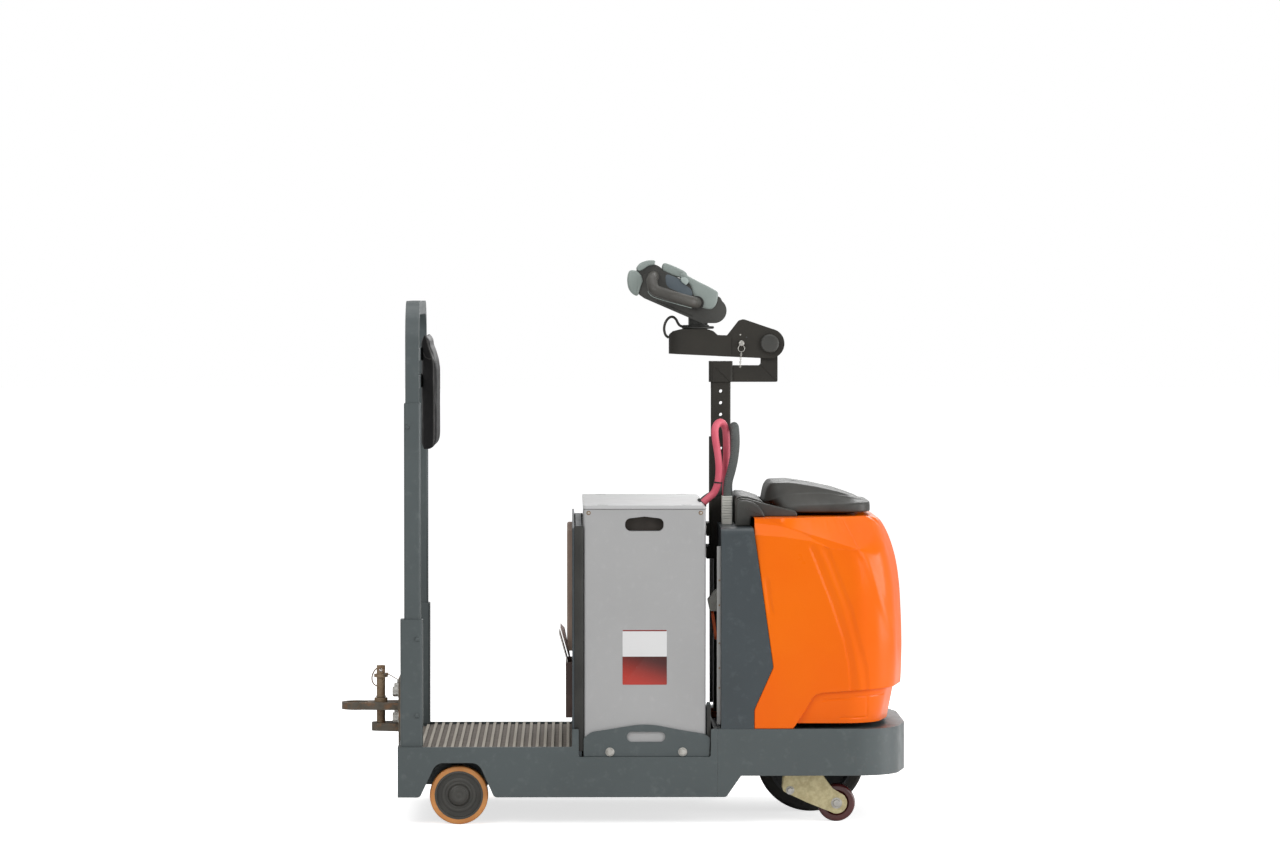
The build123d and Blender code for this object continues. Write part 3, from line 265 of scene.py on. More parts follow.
def glossy_shell(name, color, deep, coat, specular):
    """Glossy moulded cover with a clear top coat and very faint peel."""
    f = Finish(name, rough=0.32, coat=coat, coat_rough=0.14, specular=specular)
    drift = f.ramp(f.noise(2.2, 3), 0.3, 0.7)
    base = f.mix(drift, color, deep)
    f.color(f.mix(f.ramp(f.noise(55, 5, 0.6), 0.55, 0.8, 0, 0.07), base, deep))
    f.rough(f.ramp(f.noise(12, 3), 0.2, 0.8, 0.27, 0.38))
    f.bump([(f.noise(150, 2), 0.02, 0.001)], 0.003)
    return f.material


def tread_material(name, color, edge):
    """Cast polyurethane tread: slightly translucent tan with scuffed running face."""
    f = Finish(name, rough=0.42, coat=0.15, coat_rough=0.3)
    f.shader.inputs["Subsurface Weight"].default_value = 0.12
    f.shader.inputs["Subsurface Scale"].default_value = 0.01
    drift = f.ramp(f.noise(18, 4), 0.3, 0.7)
    base = f.mix(drift, color, edge)
    scuff = f.ramp(f.noise(120, 5, 0.65), 0.55, 0.75, 0, 0.45)
    f.color(f.mix(scuff, base, edge))
    f.bump([(f.noise(200, 4), 0.12, 0.0008)], 0.002)
    return f.material


def ribbed_mat(name, groove, rib, low, high):
    """Rubber mat, darker in the grooves and lighter on the tops of the ribs, by height."""
    f = Finish(name, rough=0.78, specular=0.35)
    split = f.node("ShaderNodeSeparateXYZ")
    f.link(f.place, split.inputs[0])
    top = f.ramp(split.outputs["Z"], low, high)
    groove_mottle = f.ramp(f.noise(45, 6, 0.65), 0.35, 0.7)
    base = f.mix(f.math("MULTIPLY", groove_mottle, 0.6), groove, scaled(groove, 0.62))
    light_tone = f.mix(f.math("MULTIPLY", f.noise(80, 5), 0.5), rib, groove)
    f.color(f.mix(top, base, light_tone))
    f.bump([(f.noise(500, 3), 0.25, 0.0006), (f.noise(60, 3), 0.15, 0.001)], 0.0025)
    return f.material


def braided(name, color, light):
    """Braided sleeve: two sets of strands crossing at a steep angle."""
    f = Finish(name, rough=0.8, specular=0.3)
    one = f.wave(130, "DIAGONAL", 0.6, f.stretched(1.6, 1.6, 1.0))
    two = f.wave(130, "DIAGONAL", 0.6, f.stretched(-1.6, -1.6, 1.0))
    weave = f.math("MAXIMUM", one, two)
    fuzz = f.ramp(f.noise(380, 4, 0.7), 0.45, 0.75, 0, 0.6)
    f.color(f.mix(fuzz, f.mix(f.math("MULTIPLY", weave, 0.7), color, light), light))
    f.bump([(weave, 0.6, 0.001), (f.noise(600, 3), 0.3, 0.0006)], 0)
    return f.material


def leather_cloth(name, color, light, rough=0.46):
    """Vinyl with a pebbled leather grain."""
    f = Finish(name, rough=rough, specular=0.28)
    drift = f.ramp(f.noise(11, 4), 0.3, 0.7, 0, 0.7)
    f.color(f.mix(drift, color, light))
    f.rough(f.ramp(f.noise(40, 4), 0.2, 0.8, rough - 0.08, rough + 0.1))
    f.bump([(f.cells(620, "DISTANCE_TO_EDGE"), 0.35, 0.0008), (f.noise(90, 3), 0.12, 0.002)], 0)
    return f.material


def blank_label(name, upper, lower, split_z, fade):
    """A label in two fields of colour, the lower field darkening towards the split along a slant, with a
    slight gloss and scuffs.
    """
    f = Finish(name, rough=0.35, coat=0.3)
    split = f.node("ShaderNodeSeparateXYZ")
    f.link(f.place, split.inputs[0])
    field = f.ramp(split.outputs["Z"], split_z - 0.0006, split_z + 0.0006)
    slope = f.math("ADD", split.outputs["Z"], f.math("MULTIPLY", split.outputs["X"], 0.35))
    shade = f.ramp(slope, split_z - fade, split_z + fade * 0.4)
    low = f.mix(shade, lower, scaled(lower, 0.12))
    scuffed = f.mix(f.ramp(f.noise(180, 5), 0.6, 0.85, 0, 0.06), low, upper)
    f.color(f.mix(field, scuffed, upper))
    f.bump([(f.noise(260, 2), 0.04, 0.0004)], 0.0005)
    return f.material


# Maker, material name, display colours and the maker's other values
FINISHES = [
    (painted, "frame_paint", [(72, 80, 81), (138, 146, 146)], [0.42, 0.15]),
    (painted, "panel_paint", [(54, 62, 66), (124, 134, 136)], [0.42, 0.15]),
    (powder_coat, "column_paint", [(30, 28, 23), (47, 44, 37)], []),
    (ribbed_mat, "mat_rubber", [(116, 108, 100), (176, 170, 158)], [0.2300, 0.2338]),
    (grained, "leg_pad_rubber", [(128, 108, 96), (150, 130, 116)], [0.8, 700, 0.5]),
    (grained, "pocket_plastic", [(58, 40, 34), (84, 60, 50)], [0.5]),
    (weathered_steel, "hitch_steel", [(92, 86, 76), (128, 94, 66), (178, 168, 150)], []),
    (weathered_steel, "pin_steel", [(140, 120, 96), (120, 84, 58), (190, 178, 158)], []),
    (painted, "battery_paint", [(162, 162, 162), (205, 205, 205)], [0.5, 0.1, 520, 0.06, 0.3]),
    (painted, "battery_lid_paint", [(182, 182, 182), (214, 214, 214)], [0.45, 0.15, 520, 0.05, 0.3]),
    (grained, "connector_plastic", [(204, 203, 196), (222, 220, 212)], [0.5, 1800, 0.15]),
    (grained, "loop_plastic", [(236, 92, 28), (246, 130, 60)], [0.4, 1800, 0.1]),
    (glossy_shell, "cover_orange", [(236, 108, 0), (233, 98, 0)], [0.14, 0.13]),
    (grained, "black_plastic", [(50, 50, 47), (76, 76, 72)], [0.5]),
    (grained, "seal_black", [(28, 28, 27), (48, 48, 46)], [0.6]),
    (bare_steel, "zinc", [(204, 202, 196), (150, 147, 140)], []),
    (bare_steel, "zinc_yellow", [(206, 196, 156), (160, 146, 108)], [0.42, 0.75]),
    (grained, "lead_rubber", [(44, 43, 40), (70, 68, 62)], [0.55, 1500, 0.1]),
    (grained, "grip_rubber", [(64, 62, 58), (88, 86, 80)], [0.5, 1300, 0.3]),
    (grained, "handle_grey", [(128, 138, 134), (150, 159, 154)], [0.45, 1700, 0.12]),
    (powder_coat, "cast_housing", [(52, 53, 54), (72, 73, 74)], []),
    (powder_coat, "motor_block", [(44, 44, 45), (60, 60, 62)], []),
    (grained, "drive_rubber", [(40, 38, 35), (62, 59, 54)], [0.75, 900, 0.4]),
    (tread_material, "tan_tread", [(206, 140, 76), (186, 122, 62)], []),
    (grained, "hub_black", [(62, 61, 57), (84, 82, 77)], [0.5, 1200, 0.2]),
    (glossy_shell, "maroon_wheel", [(92, 28, 26), (70, 18, 18)], [0.6, 0.5]),
    (grained, "red_cable", [(208, 84, 104), (226, 118, 132)], [0.5, 1300, 0.08]),
    (braided, "dark_sleeve", [(62, 66, 66), (108, 112, 110)], []),
    (leather_cloth, "pad_vinyl", [(4, 4, 5), (12, 12, 13)], []),
    (leather_cloth, "pad_edge", [(52, 51, 50), (74, 73, 72)], [0.4]),
    (painted, "paper_sleeve", [(226, 220, 214), (240, 236, 230)], [0.3, 0.5, 200, 0.1, 0.4]),
    (blank_label, "battery_label", [(214, 214, 214), (176, 44, 28)], [0.507, 0.075]),
    (grained, "handle_pale", [(158, 170, 166), (182, 192, 186)], [0.45, 1700, 0.1]),
    (painted, "label_red", [(132, 40, 36), (166, 92, 88)], [0.4, 0.2]),
    (grained, "paper_pale", [(214, 200, 198), (236, 226, 224)], [0.6, 900, 0.02]),
    # Orange-brown: rust at the column sleeve's foot, and a painted orange highlight up the sleeve's front
    # edge
    (grained, "rusted", [(150, 66, 22), (92, 42, 20)], [0.7, 300, 0.35]),
    (grained, "recess_grey", [(78, 88, 95), (98, 108, 114)], [0.5, 1500, 0.1]),
    (grained, "shell_black", [(34, 34, 31), (54, 54, 50)], [0.5, 1500, 0.2]),
    # Dark brown sheets in the lid slots and the grip hole: painted shade
    (grained, "dark_hollow", [(40, 35, 30), (64, 56, 48)], [0.7]),
    # Pale strip colour: a painted reflection on the grey-painted panel flange
    (painted, "pale_rail", [(160, 160, 158), (210, 208, 200)], []),
]
materials = {}


def make_materials():
    for maker, name, colours, values in FINISHES:
        materials[name] = maker(name, *(linear(*colour) for colour in colours), *values)


def dress():
    """Every carried-over solid takes the finish named by its material slot."""
    slots = {row["node"]: row["material_slot"] for row in frame["record"]["subparts"]}
    for name, piece in nodes.items():
        piece.data.materials.clear()
        piece.data.materials.append(materials[slots[name]])
    nodes["hitch_pin"].data.materials[0] = materials["pin_steel"]


# Stage and lights, in metres and watts

AMBIENT = 0.5
FLOOR_GLOW = 0.70
# Soft boxes: name, place, aimed at, size, power
LIGHTS = [
    ("key", (-3.2, -5.0, 4.6), (0.0, 0.0, 0.8), 3.2, 150.0),
    ("fill", (4.2, -4.6, 2.6), (0.1, 0.0, 0.7), 3.0, 95.0),
    ("top", (0.3, 0.2, 5.2), (0.0, 0.0, 0.6), 4.0, 70.0),
    ("back", (1.5, 4.8, 3.4), (0.0, 0.0, 0.8), 3.0, 90.0),
    ("side", (5.2, -0.6, 1.5), (0.6, 0.0, 0.7), 2.4, 110.0),
]


def by_camera(tree, plain, seen, target):
    """One shader for what the camera sees directly and another for all other rays."""
    path = tree.nodes.new("ShaderNodeLightPath")
    pick = tree.nodes.new("ShaderNodeMixShader")
    sources = (path.outputs["Is Camera Ray"], plain.outputs[0], seen.outputs[0], pick.outputs[0])
    for source, socket in zip(sources, (*pick.inputs, target)):
        tree.links.new(source, socket)


def make_floor():
    mesh = bpy.data.meshes.new("floor")
    mesh.from_pydata([(-30, -20, 0), (30, -20, 0), (30, 60, 0), (-30, 60, 0)], [], [(0, 1, 2, 3)])
    floor = bpy.data.objects.new("floor", mesh)
    scene.collection.objects.link(floor)
    f = Finish("floor", rough=0.9, specular=0.1)
    f.shader.inputs["Base Color"].default_value = (0.80, 0.80, 0.80, 1)
    glow = f.node("ShaderNodeEmission")
    glow.inputs["Strength"].default_value = FLOOR_GLOW
    both = f.node("ShaderNodeAddShader")
    f.link(f.shader.outputs[0], both.inputs[0])
    f.link(glow.outputs[0], both.inputs[1])
    by_camera(f.tree, f.shader, both, f.tree.nodes["Material Output"].inputs["Surface"])
    mesh.materials.append(f.material)


def make_world():
    world = bpy.data.worlds.new("studio")
    scene.world = world
    world.use_nodes = True
    tree = world.node_tree
    ambient = tree.nodes["Background"]
    ambient.inputs["Color"].default_value = (1, 1, 1, 1)
    ambient.inputs["Strength"].default_value = AMBIENT
    backdrop = tree.nodes.new("ShaderNodeBackground")
    backdrop.inputs["Color"].default_value = (1, 1, 1, 1)
    backdrop.inputs["Strength"].default_value = 1.0
    by_camera(tree, ambient, backdrop, tree.nodes["World Output"].inputs["Surface"])
    scene.view_settings.view_transform = "Standard"


def make_lights():
    for name, place, target, size, power in LIGHTS:
        data = bpy.data.lights.new(name, "AREA")
        data.shape = "SQUARE"
        data.size = size
        data.energy = power
        light = bpy.data.objects.new(name, data)
        scene.collection.objects.link(light)
        light.location = place
        aim = Vector(target) - Vector(place)
        light.rotation_mode = "QUATERNION"
        light.rotation_quaternion = aim.to_track_quat("-Z", "Y")


# Mesh helpers; a piece's material goes by its name, and it rides on the chassis unless told otherwise

SIDES = ((-1, "right"), (1, "left"))


def link_mesh(name, bm, material, body="chassis", smooth=True):
    """A piece made from a bmesh."""
    mesh = bpy.data.meshes.new(name)
    bm.to_mesh(mesh)
    bm.free()
    mesh.materials.append(materials[material])
    if smooth:
        mesh.shade_smooth()
    piece = bpy.data.objects.new(name, mesh)
    scene.collection.objects.link(piece)
    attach(piece, body)
    return piece


def stand_in(node, slot, *pieces):
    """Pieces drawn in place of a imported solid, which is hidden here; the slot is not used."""
    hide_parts(node)


def apply_modifiers(piece):
    graph = bpy.context.evaluated_depsgraph_get()
    graph.update()
    done = bpy.data.meshes.new_from_object(piece.evaluated_get(graph))
    done.name = piece.name
    piece.modifiers.clear()
    piece.data = done


def subdivide(piece):
    smooth = piece.modifiers.new("smooth", "SUBSURF")
    smooth.levels = smooth.render_levels = 1
    apply_modifiers(piece)
    piece.data.shade_smooth()


def sharpen(piece, angle, where=None):
    """Edges bent more than an angle keep a crisp shading break, inside a region if one is given."""
    mesh = piece.data
    bm = bmesh.new()
    bm.from_mesh(mesh)
    limit = math.radians(angle)
    for edge in bm.edges:
        if len(edge.link_faces) == 2 and edge.calc_face_angle(0) > limit:
            edge.smooth = bool(where and not where(edge.verts[0].co))
    bm.to_mesh(mesh)
    bm.free()


def on_circle(radius, k, count):
    a = 2 * math.pi * k / count
    return radius * math.cos(a), radius * math.sin(a)


def turned(name, profile, place, axis, material, body="chassis", steps=48):
    """A piece turned about an axis from (along, radius) points; along runs in the axis's direction."""
    bm = bmesh.new()
    spin = Vector(axis).to_track_quat("Z", "Y").to_matrix().to_4x4()
    rings = []
    for along, radius in profile:
        ring = [Vector((*on_circle(radius, k, steps), along)) for k in range(steps if radius else 1)]
        rings.append([bm.verts.new(spin @ point) for point in ring])
    for a, b in zip(rings, rings[1:]):
        for k in range(steps):
            n = (k + 1) % steps
            corners = [a[k % len(a)], a[n % len(a)], b[n % len(b)], b[k % len(b)]]
            unique = list(dict.fromkeys(corners))
            if len(unique) >= 3:
                bm.faces.new(unique)
    bmesh.ops.translate(bm, verts=bm.verts, vec=Vector(place))
    bmesh.ops.recalc_face_normals(bm, faces=bm.faces)
    piece = link_mesh(name, bm, material, body)
    sharpen(piece, 35)
    return piece


def dome(name, place, side, radius, height, material, body="chassis"):
    """Rivet or screw head on one side, placed as if on the left."""
    x, y, z = place
    profile = [(0, radius)] + [(height * math.sin(a), radius * math.cos(a))
                               for a in (math.radians(15 * k) for k in range(1, 6))] + [(height, 0)]
    turned(name, profile, (x, side * y, z), (0, side, 0), material, body, 28)


WASHER_THICKNESS = 0.0018


def hex_bolt(name, place, axis, size, height, washer, material="zinc", body="chassis"):
    """Hex head with a chamfered top on a washer."""
    bm = bmesh.new()
    turn = Vector(axis).to_track_quat("Z", "Y").to_matrix().to_4x4()
    base = WASHER_THICKNESS
    for segments, low, high, depth, middle in (
            (40, washer, washer * 0.97, WASHER_THICKNESS, WASHER_THICKNESS / 2),
            (6, size, size, height * 0.8, base + height * 0.4),
            (6, size, size * 0.84, height * 0.2, base + height * 0.9)):
        cone = bmesh.ops.create_cone(bm, cap_ends=True, segments=segments, radius1=low, radius2=high,
                                     depth=depth)
        bmesh.ops.translate(bm, verts=cone["verts"], vec=(0, 0, middle))
    bmesh.ops.transform(bm, matrix=Matrix.Translation(Vector(place)) @ turn, verts=bm.verts)
    link_mesh(name, bm, material, body, smooth=False)


def wire(name, points, radius, material, body="chassis", closed=False, steps=6):
    """Round wire along a smooth line through control points."""
    curve = bpy.data.curves.new(name, "CURVE")
    curve.dimensions = "3D"
    curve.bevel_depth = radius
    curve.bevel_resolution = 3
    curve.resolution_u = steps
    curve.use_fill_caps = True
    spline = curve.splines.new("NURBS")
    spline.points.add(len(points) - 1)
    for point, place in zip(spline.points, points):
        point.co = (*place, 1.0)
    spline.order_u = 3
    if closed:
        spline.use_cyclic_u = True
    else:
        spline.use_endpoint_u = True
    curve.materials.append(materials[material])
    piece = bpy.data.objects.new(name, curve)
    scene.collection.objects.link(piece)
    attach(piece, body)
    return piece


def circle_points(centre, radius, normal, count):
    turn = Vector(normal).to_track_quat("Z", "Y")
    return [Vector(centre) + turn @ Vector((*on_circle(radius, k, count), 0)) for k in range(count)]


def rounded(left, right, low, high, radius):
    """Corners of a rectangle with rounded corners."""
    corners = []
    for cx, cy, start in ((right - radius, low + radius, -90), (right - radius, high - radius, 0),
                          (left + radius, high - radius, 90), (left + radius, low + radius, 180)):
        for quarter in range(5):
            a = math.radians(start + 22.5 * quarter)
            corners.append((cx + radius * math.cos(a), cy + radius * math.sin(a)))
    return corners


def plate_piece(name, outline, place, across, up, thickness, material, bevel=0.0):
    """Flat plate from (u, v) corners, u along across and v along up, raised in their cross direction."""
    bm = bmesh.new()
    across, up = Vector(across), Vector(up)
    face = bm.faces.new([bm.verts.new(Vector(place) + across * u + up * v) for u, v in outline])
    raised = bmesh.ops.extrude_face_region(bm, geom=[face])
    top = [item for item in raised["geom"] if isinstance(item, bmesh.types.BMVert)]
    bmesh.ops.translate(bm, verts=top, vec=across.cross(up) * thickness)
    bmesh.ops.recalc_face_normals(bm, faces=bm.faces)
    if bevel:
        rim = [edge for edge in bm.edges if all(v in top for v in edge.verts)]
        bmesh.ops.bevel(bm, geom=rim, offset=bevel, segments=2, affect="EDGES", profile=0.7)
    sharpen(link_mesh(name, bm, material), 30)


def side_piece(name, outline, side, near, far, material, bevel=0.0, body="chassis", segments=2):
    """Slab with a side outline of (x, z) points, between two distances from the middle plane on one side."""
    bm = bmesh.new()
    rings = [[bm.verts.new((x, side * y, z)) for x, z in outline] for y in (near, far)]
    ends = [bm.faces.new(rings[0]), bm.faces.new(rings[1][::-1])]
    for k in range(len(outline)):
        n = (k + 1) % len(outline)
        bm.faces.new((rings[0][k], rings[1][k], rings[1][n], rings[0][n]))
    bmesh.ops.recalc_face_normals(bm, faces=bm.faces)
    if bevel:
        rim = [edge for end in ends for edge in end.edges]
        bmesh.ops.bevel(bm, geom=rim, offset=bevel, segments=segments, affect="EDGES", profile=0.5)
    piece = link_mesh(name, bm, material, body)
    sharpen(piece, 32)
    return piece


def metres(points):
    return [(x / 1000, z / 1000) for x, z in points]


def table_at(table, z):
    """Values of a table of rows (height, ...) at a height, along a smooth curve."""
    if z <= table[0][0]:
        return table[0][1:]
    if z >= table[-1][0]:
        return table[-1][1:]
    i = next(n for n in range(len(table) - 1) if table[n + 1][0] >= z)
    a, b = table[i], table[i + 1]
    before, after = table[max(i - 1, 0)], table[min(i + 2, len(table) - 1)]
    span = b[0] - a[0]
    t = (z - a[0]) / span
    row = []
    for k in range(1, len(a)):
        rise_a = (b[k] - before[k]) / (b[0] - before[0]) * span
        rise_b = (after[k] - a[k]) / (after[0] - a[0]) * span
        row.append((2 * t ** 3 - 3 * t ** 2 + 1) * a[k] + (t ** 3 - 2 * t ** 2 + t) * rise_a
                   + (3 * t ** 2 - 2 * t ** 3) * b[k] + (t ** 3 - t ** 2) * rise_b)
    return row


def line_at(points, u):
    """Second value of a polyline of (u, v) points at u, held at its ends."""
    if u <= points[0][0]:
        return points[0][1]
    for (u0, v0), (u1, v1) in zip(points, points[1:]):
        if u <= u1:
            return v0 + (v1 - v0) * (u - u0) / (u1 - u0)
    return points[-1][1]


def step(value, low, high):
    """Smooth rise from 0 at low to 1 at high."""
    t = min(1.0, max(0.0, (value - low) / (high - low)))
    return t * t * (3 - 2 * t)


# Cords, in metres

RED_RADIUS = 0.0115
DARK_RADIUS = 0.0135
LEAD_RADIUS = 0.0041
RED_ROUTE = [(0.24795, -0.150, 0.95795), (0.263, -0.150, 0.973), (0.284, -0.151, 0.989),
             (0.296, -0.153, 1.026), (0.298, -0.153, 1.070), (0.293, -0.155, 1.115),
             (0.285, -0.157, 1.158), (0.284, -0.157, 1.192), (0.302, -0.134, 1.210),
             (0.319, -0.112, 1.190), (0.322, -0.110, 1.150), (0.322, -0.109, 1.105),
             (0.320, -0.109, 1.058), (0.319, -0.110, 1.016), (0.319, -0.110, 0.9803)]
DARK_ROUTE = [(0.24795, -0.092, 0.95795), (0.262, -0.092, 0.972), (0.290, -0.086, 0.984),
              (0.318, -0.078, 1.006), (0.333, -0.076, 1.044), (0.337, -0.076, 1.090),
              (0.339, -0.077, 1.135), (0.341, -0.078, 1.176), (0.345, -0.113, 1.198),
              (0.347, -0.148, 1.176), (0.348, -0.151, 1.136), (0.343, -0.151, 1.092),
              (0.334, -0.149, 1.052), (0.3235, -0.148, 1.018), (0.3235, -0.148, 0.9803)]
LEAD_ROUTE = [(0.1907, 0, 1.497), (0.1815, 0, 1.4985), (0.1745, 0, 1.508), (0.1695, 0, 1.520),
              (0.1590, 0, 1.5285), (0.1467, 0, 1.5250), (0.1361, 0, 1.5110), (0.1319, 0, 1.494),
              (0.1332, 0, 1.480), (0.1378, 0, 1.468), (0.1462, 0, 1.463)]


def make_cords():
    red = wire("cable_red", RED_ROUTE, RED_RADIUS, "red_cable", steps=8)
    dark = wire("cable_dark", DARK_ROUTE, DARK_RADIUS, "dark_sleeve", steps=8)
    lead = wire("arm_lead", LEAD_ROUTE, LEAD_RADIUS, "lead_rubber", "arm", steps=8)
    stand_in("battery_cable_red", "red_cable", red)
    stand_in("battery_cable_dark", "dark_sleeve", dark)
    stand_in("handle_lead", "lead_rubber", lead)


# Drive cover, in millimetres

FRONT = 865.0
HALF = 410.0
# Plan by height: height, setback from the front, setback from the side, corner radius
UPPER = [(289.0, 22.0, 3.0, 135.0), (411.0, 12.0, 2.0, 135.0), (490.0, 9.0, 2.0, 135.0),
         (560.0, 9.0, 2.0, 135.0), (654.0, 12.5, 3.0, 133.0), (720.0, 17.0, 4.5, 130.0),
         (792.0, 28.0, 8.0, 126.0), (854.0, 46.5, 13.0, 121.0), (896.0, 67.0, 18.0, 115.0),
         (922.0, 86.0, 22.0, 108.0)]
LOWER = [(289.0, 57.0, 20.0, 118.0), (340.0, 47.0, 15.0, 121.0), (400.0, 35.0, 11.0, 125.0)]
# Lines along the side, as (x, z) points
STEP_LINE = [(390.0, 289.5), (513.0, 289.5), (549.5, 344.0), (572.0, 384.0), (580.0, 390.5),
             (600.0, 397.0), (729.0, 405.5), (900.0, 414.0)]
CRESCENT_LOW = [(390.0, 873.5), (480.0, 867.5), (568.0, 854.0), (626.0, 831.0), (711.0, 827.0)]
CRESCENT_HIGH = [(390.0, 908.0), (416.0, 906.0), (480.0, 898.0), (540.0, 879.0), (626.0, 832.0),
                 (711.0, 827.5)]
FOLD = [(390.0, 921.0), (424.0, 919.0), (711.0, 828.5), (1000.0, 736.0)]
LOWER_TOP = [(600.0, 374.5), (734.0, 386.0), (776.0, 388.0)]
# Lines down the side, as (z, x) points
SLANT = [(289.0, 395.7), (347.0, 395.7), (475.0, 453.0), (894.0, 394.0), (922.0, 390.1)]
CREASE_LEFT = [(415.0, 683.6), (487.0, 678.2), (564.0, 661.7), (664.0, 628.7), (807.0, 573.5),
               (846.0, 557.0)]
CREASE_MIDDLE = [(415.0, 717.0), (487.0, 703.0), (554.0, 689.3), (653.0, 661.7), (785.0, 612.0),
                 (830.0, 590.0)]
CREASE_RIGHT = [(415.0, 741.5), (476.0, 736.0), (542.0, 717.0), (653.0, 689.3), (752.0, 650.6),
                (830.0, 620.3)]
CORNER_RIDGE = [(400.0, 838.0), (582.0, 813.5), (671.0, 779.0), (796.0, 734.0), (827.0, 711.0)]
LATCH = [(635.0, 446.0), (746.0, 431.0)]
# Heights, widths and slopes, then the mesh's columns and rows
COVER_TOP = 922.0
COVER_LOW = 305.0
CROWN_BACK = 50.0
CROWN_Y = 180.0
CROWN_R = 200.0
GROOVE_DEPTH = 1.6
LOWER_SEAM = 322.0
SHOULDER_RISE = 0.651
SHOULDER_SIDE = 397.0
SHOULDER_END = 711.0
SHOULDER_CENTRE = 560.0
SHOULDER_GAP = 40.0
FLANGE = 4.5
SIDE_COLUMNS, CORNER_COLUMNS, CHEEK_COLUMNS, CROWN_COLUMNS, NOSE_COLUMNS = 62, 42, 14, 6, 14
LOWER_ROWS, WALL_ROWS, CREST_ROWS, SHOULDER_ROWS = 26, 92, 8, 12


def cover_plan(table, z, column):
    """Point and outward direction of the cover's plan outline, right half, at a height and column."""
    setback, side_setback, radius = table_at(table, z)
    f, h = FRONT - setback, HALF - side_setback
    along = Vector((CROWN_BACK, h - CROWN_Y)).normalized()
    turn = math.atan2(along.y, along.x)
    reach = radius * math.tan(turn / 2)
    crown_turn = math.pi / 2 - turn
    crown_reach = CROWN_R * math.tan(crown_turn / 2)
    rear = line_at(SLANT, z)
    side_end = f - CROWN_BACK - reach
    k = column
    if k <= SIDE_COLUMNS:
        return Vector((rear + (side_end - rear) * k / SIDE_COLUMNS, -h)), Vector((0, -1))
    k -= SIDE_COLUMNS
    if k <= CORNER_COLUMNS:
        a = turn * k / CORNER_COLUMNS - math.pi / 2
        out = Vector((math.cos(a), math.sin(a)))
        return Vector((side_end, radius - h)) + out * radius, out
    k -= CORNER_COLUMNS
    cheek = Vector((math.sin(turn), -math.cos(turn)))
    start = Vector((f - CROWN_BACK, -h)) + along * reach
    end = Vector((f, -CROWN_Y)) - along * crown_reach
    if k <= CHEEK_COLUMNS:
        return start.lerp(end, k / CHEEK_COLUMNS), cheek
    k -= CHEEK_COLUMNS
    if k <= CROWN_COLUMNS:
        a = turn + crown_turn * k / CROWN_COLUMNS - math.pi / 2
        out = Vector((math.cos(a), math.sin(a)))
        return Vector((f - CROWN_R, crown_reach - CROWN_Y)) + out * CROWN_R, out
    k -= CROWN_COLUMNS
    return Vector((f, (crown_reach - CROWN_Y) * (1 - k / NOSE_COLUMNS))), Vector((1, 0))


def shoulder_z(place):
    return line_at(FOLD, place.x) + SHOULDER_RISE * (SHOULDER_SIDE + place.y)


def cover_relief(place, z):
    """How far the side's creases and grooves lie under the plain wall."""
    depth = 0.0
    if z < 850:
        left, middle, right = (line_at(line, z) for line in (CREASE_LEFT, CREASE_MIDDLE, CREASE_RIGHT))
        ends = 1 - step(z, 826, 848)
        if left - 4 < place.x < middle:
            depth += 3.4 * ends * step(place.x, left - 3, left + 4) * (1 - step(place.x, left + 4, middle))
        if middle - 2 < place.x < right + 6:
            fall = 1 - step(place.x, right - 7, right + 4)
            depth += 2.8 * ends * step(place.x, middle - 2, right - 8) * fall
        ridge = line_at(CORNER_RIDGE, z)
        depth -= 1.8 * step(z, 400, 520) * ends * (1 - step(abs(place.x - ridge), 0, 20))
    middle = line_at(LATCH, z)
    ends = step(z, 628, 644) * (1 - step(z, 732, 752))
    fall = 1 - step(place.x, middle + 3, middle + 11)
    depth += 2.4 * ends * step(place.x, middle - 9, middle - 4) * fall
    return depth


def groove(distance, width=3.5):
    return GROOVE_DEPTH * (1 - step(abs(distance), width * 0.3, width))


def lower_relief(place, z):
    """Depth of the grooves round the panel low on the side."""
    depth = 0.0
    top = line_at(LOWER_TOP, place.x)
    if 600 < place.x < 790:
        depth = max(depth, groove(z - top))
    if LOWER_SEAM < z < top:
        depth = max(depth, groove(place.x - 737, 4.5))
    if 655 < place.x < 740:
        depth = max(depth, groove(z - LOWER_SEAM))
    return depth


def on_wall(column, line, z):
    """Height at which a column of the upper shell meets a line of (x, z) points."""
    for _ in range(14):
        z = line_at(line, cover_plan(UPPER, z, column)[0].x)
    return z


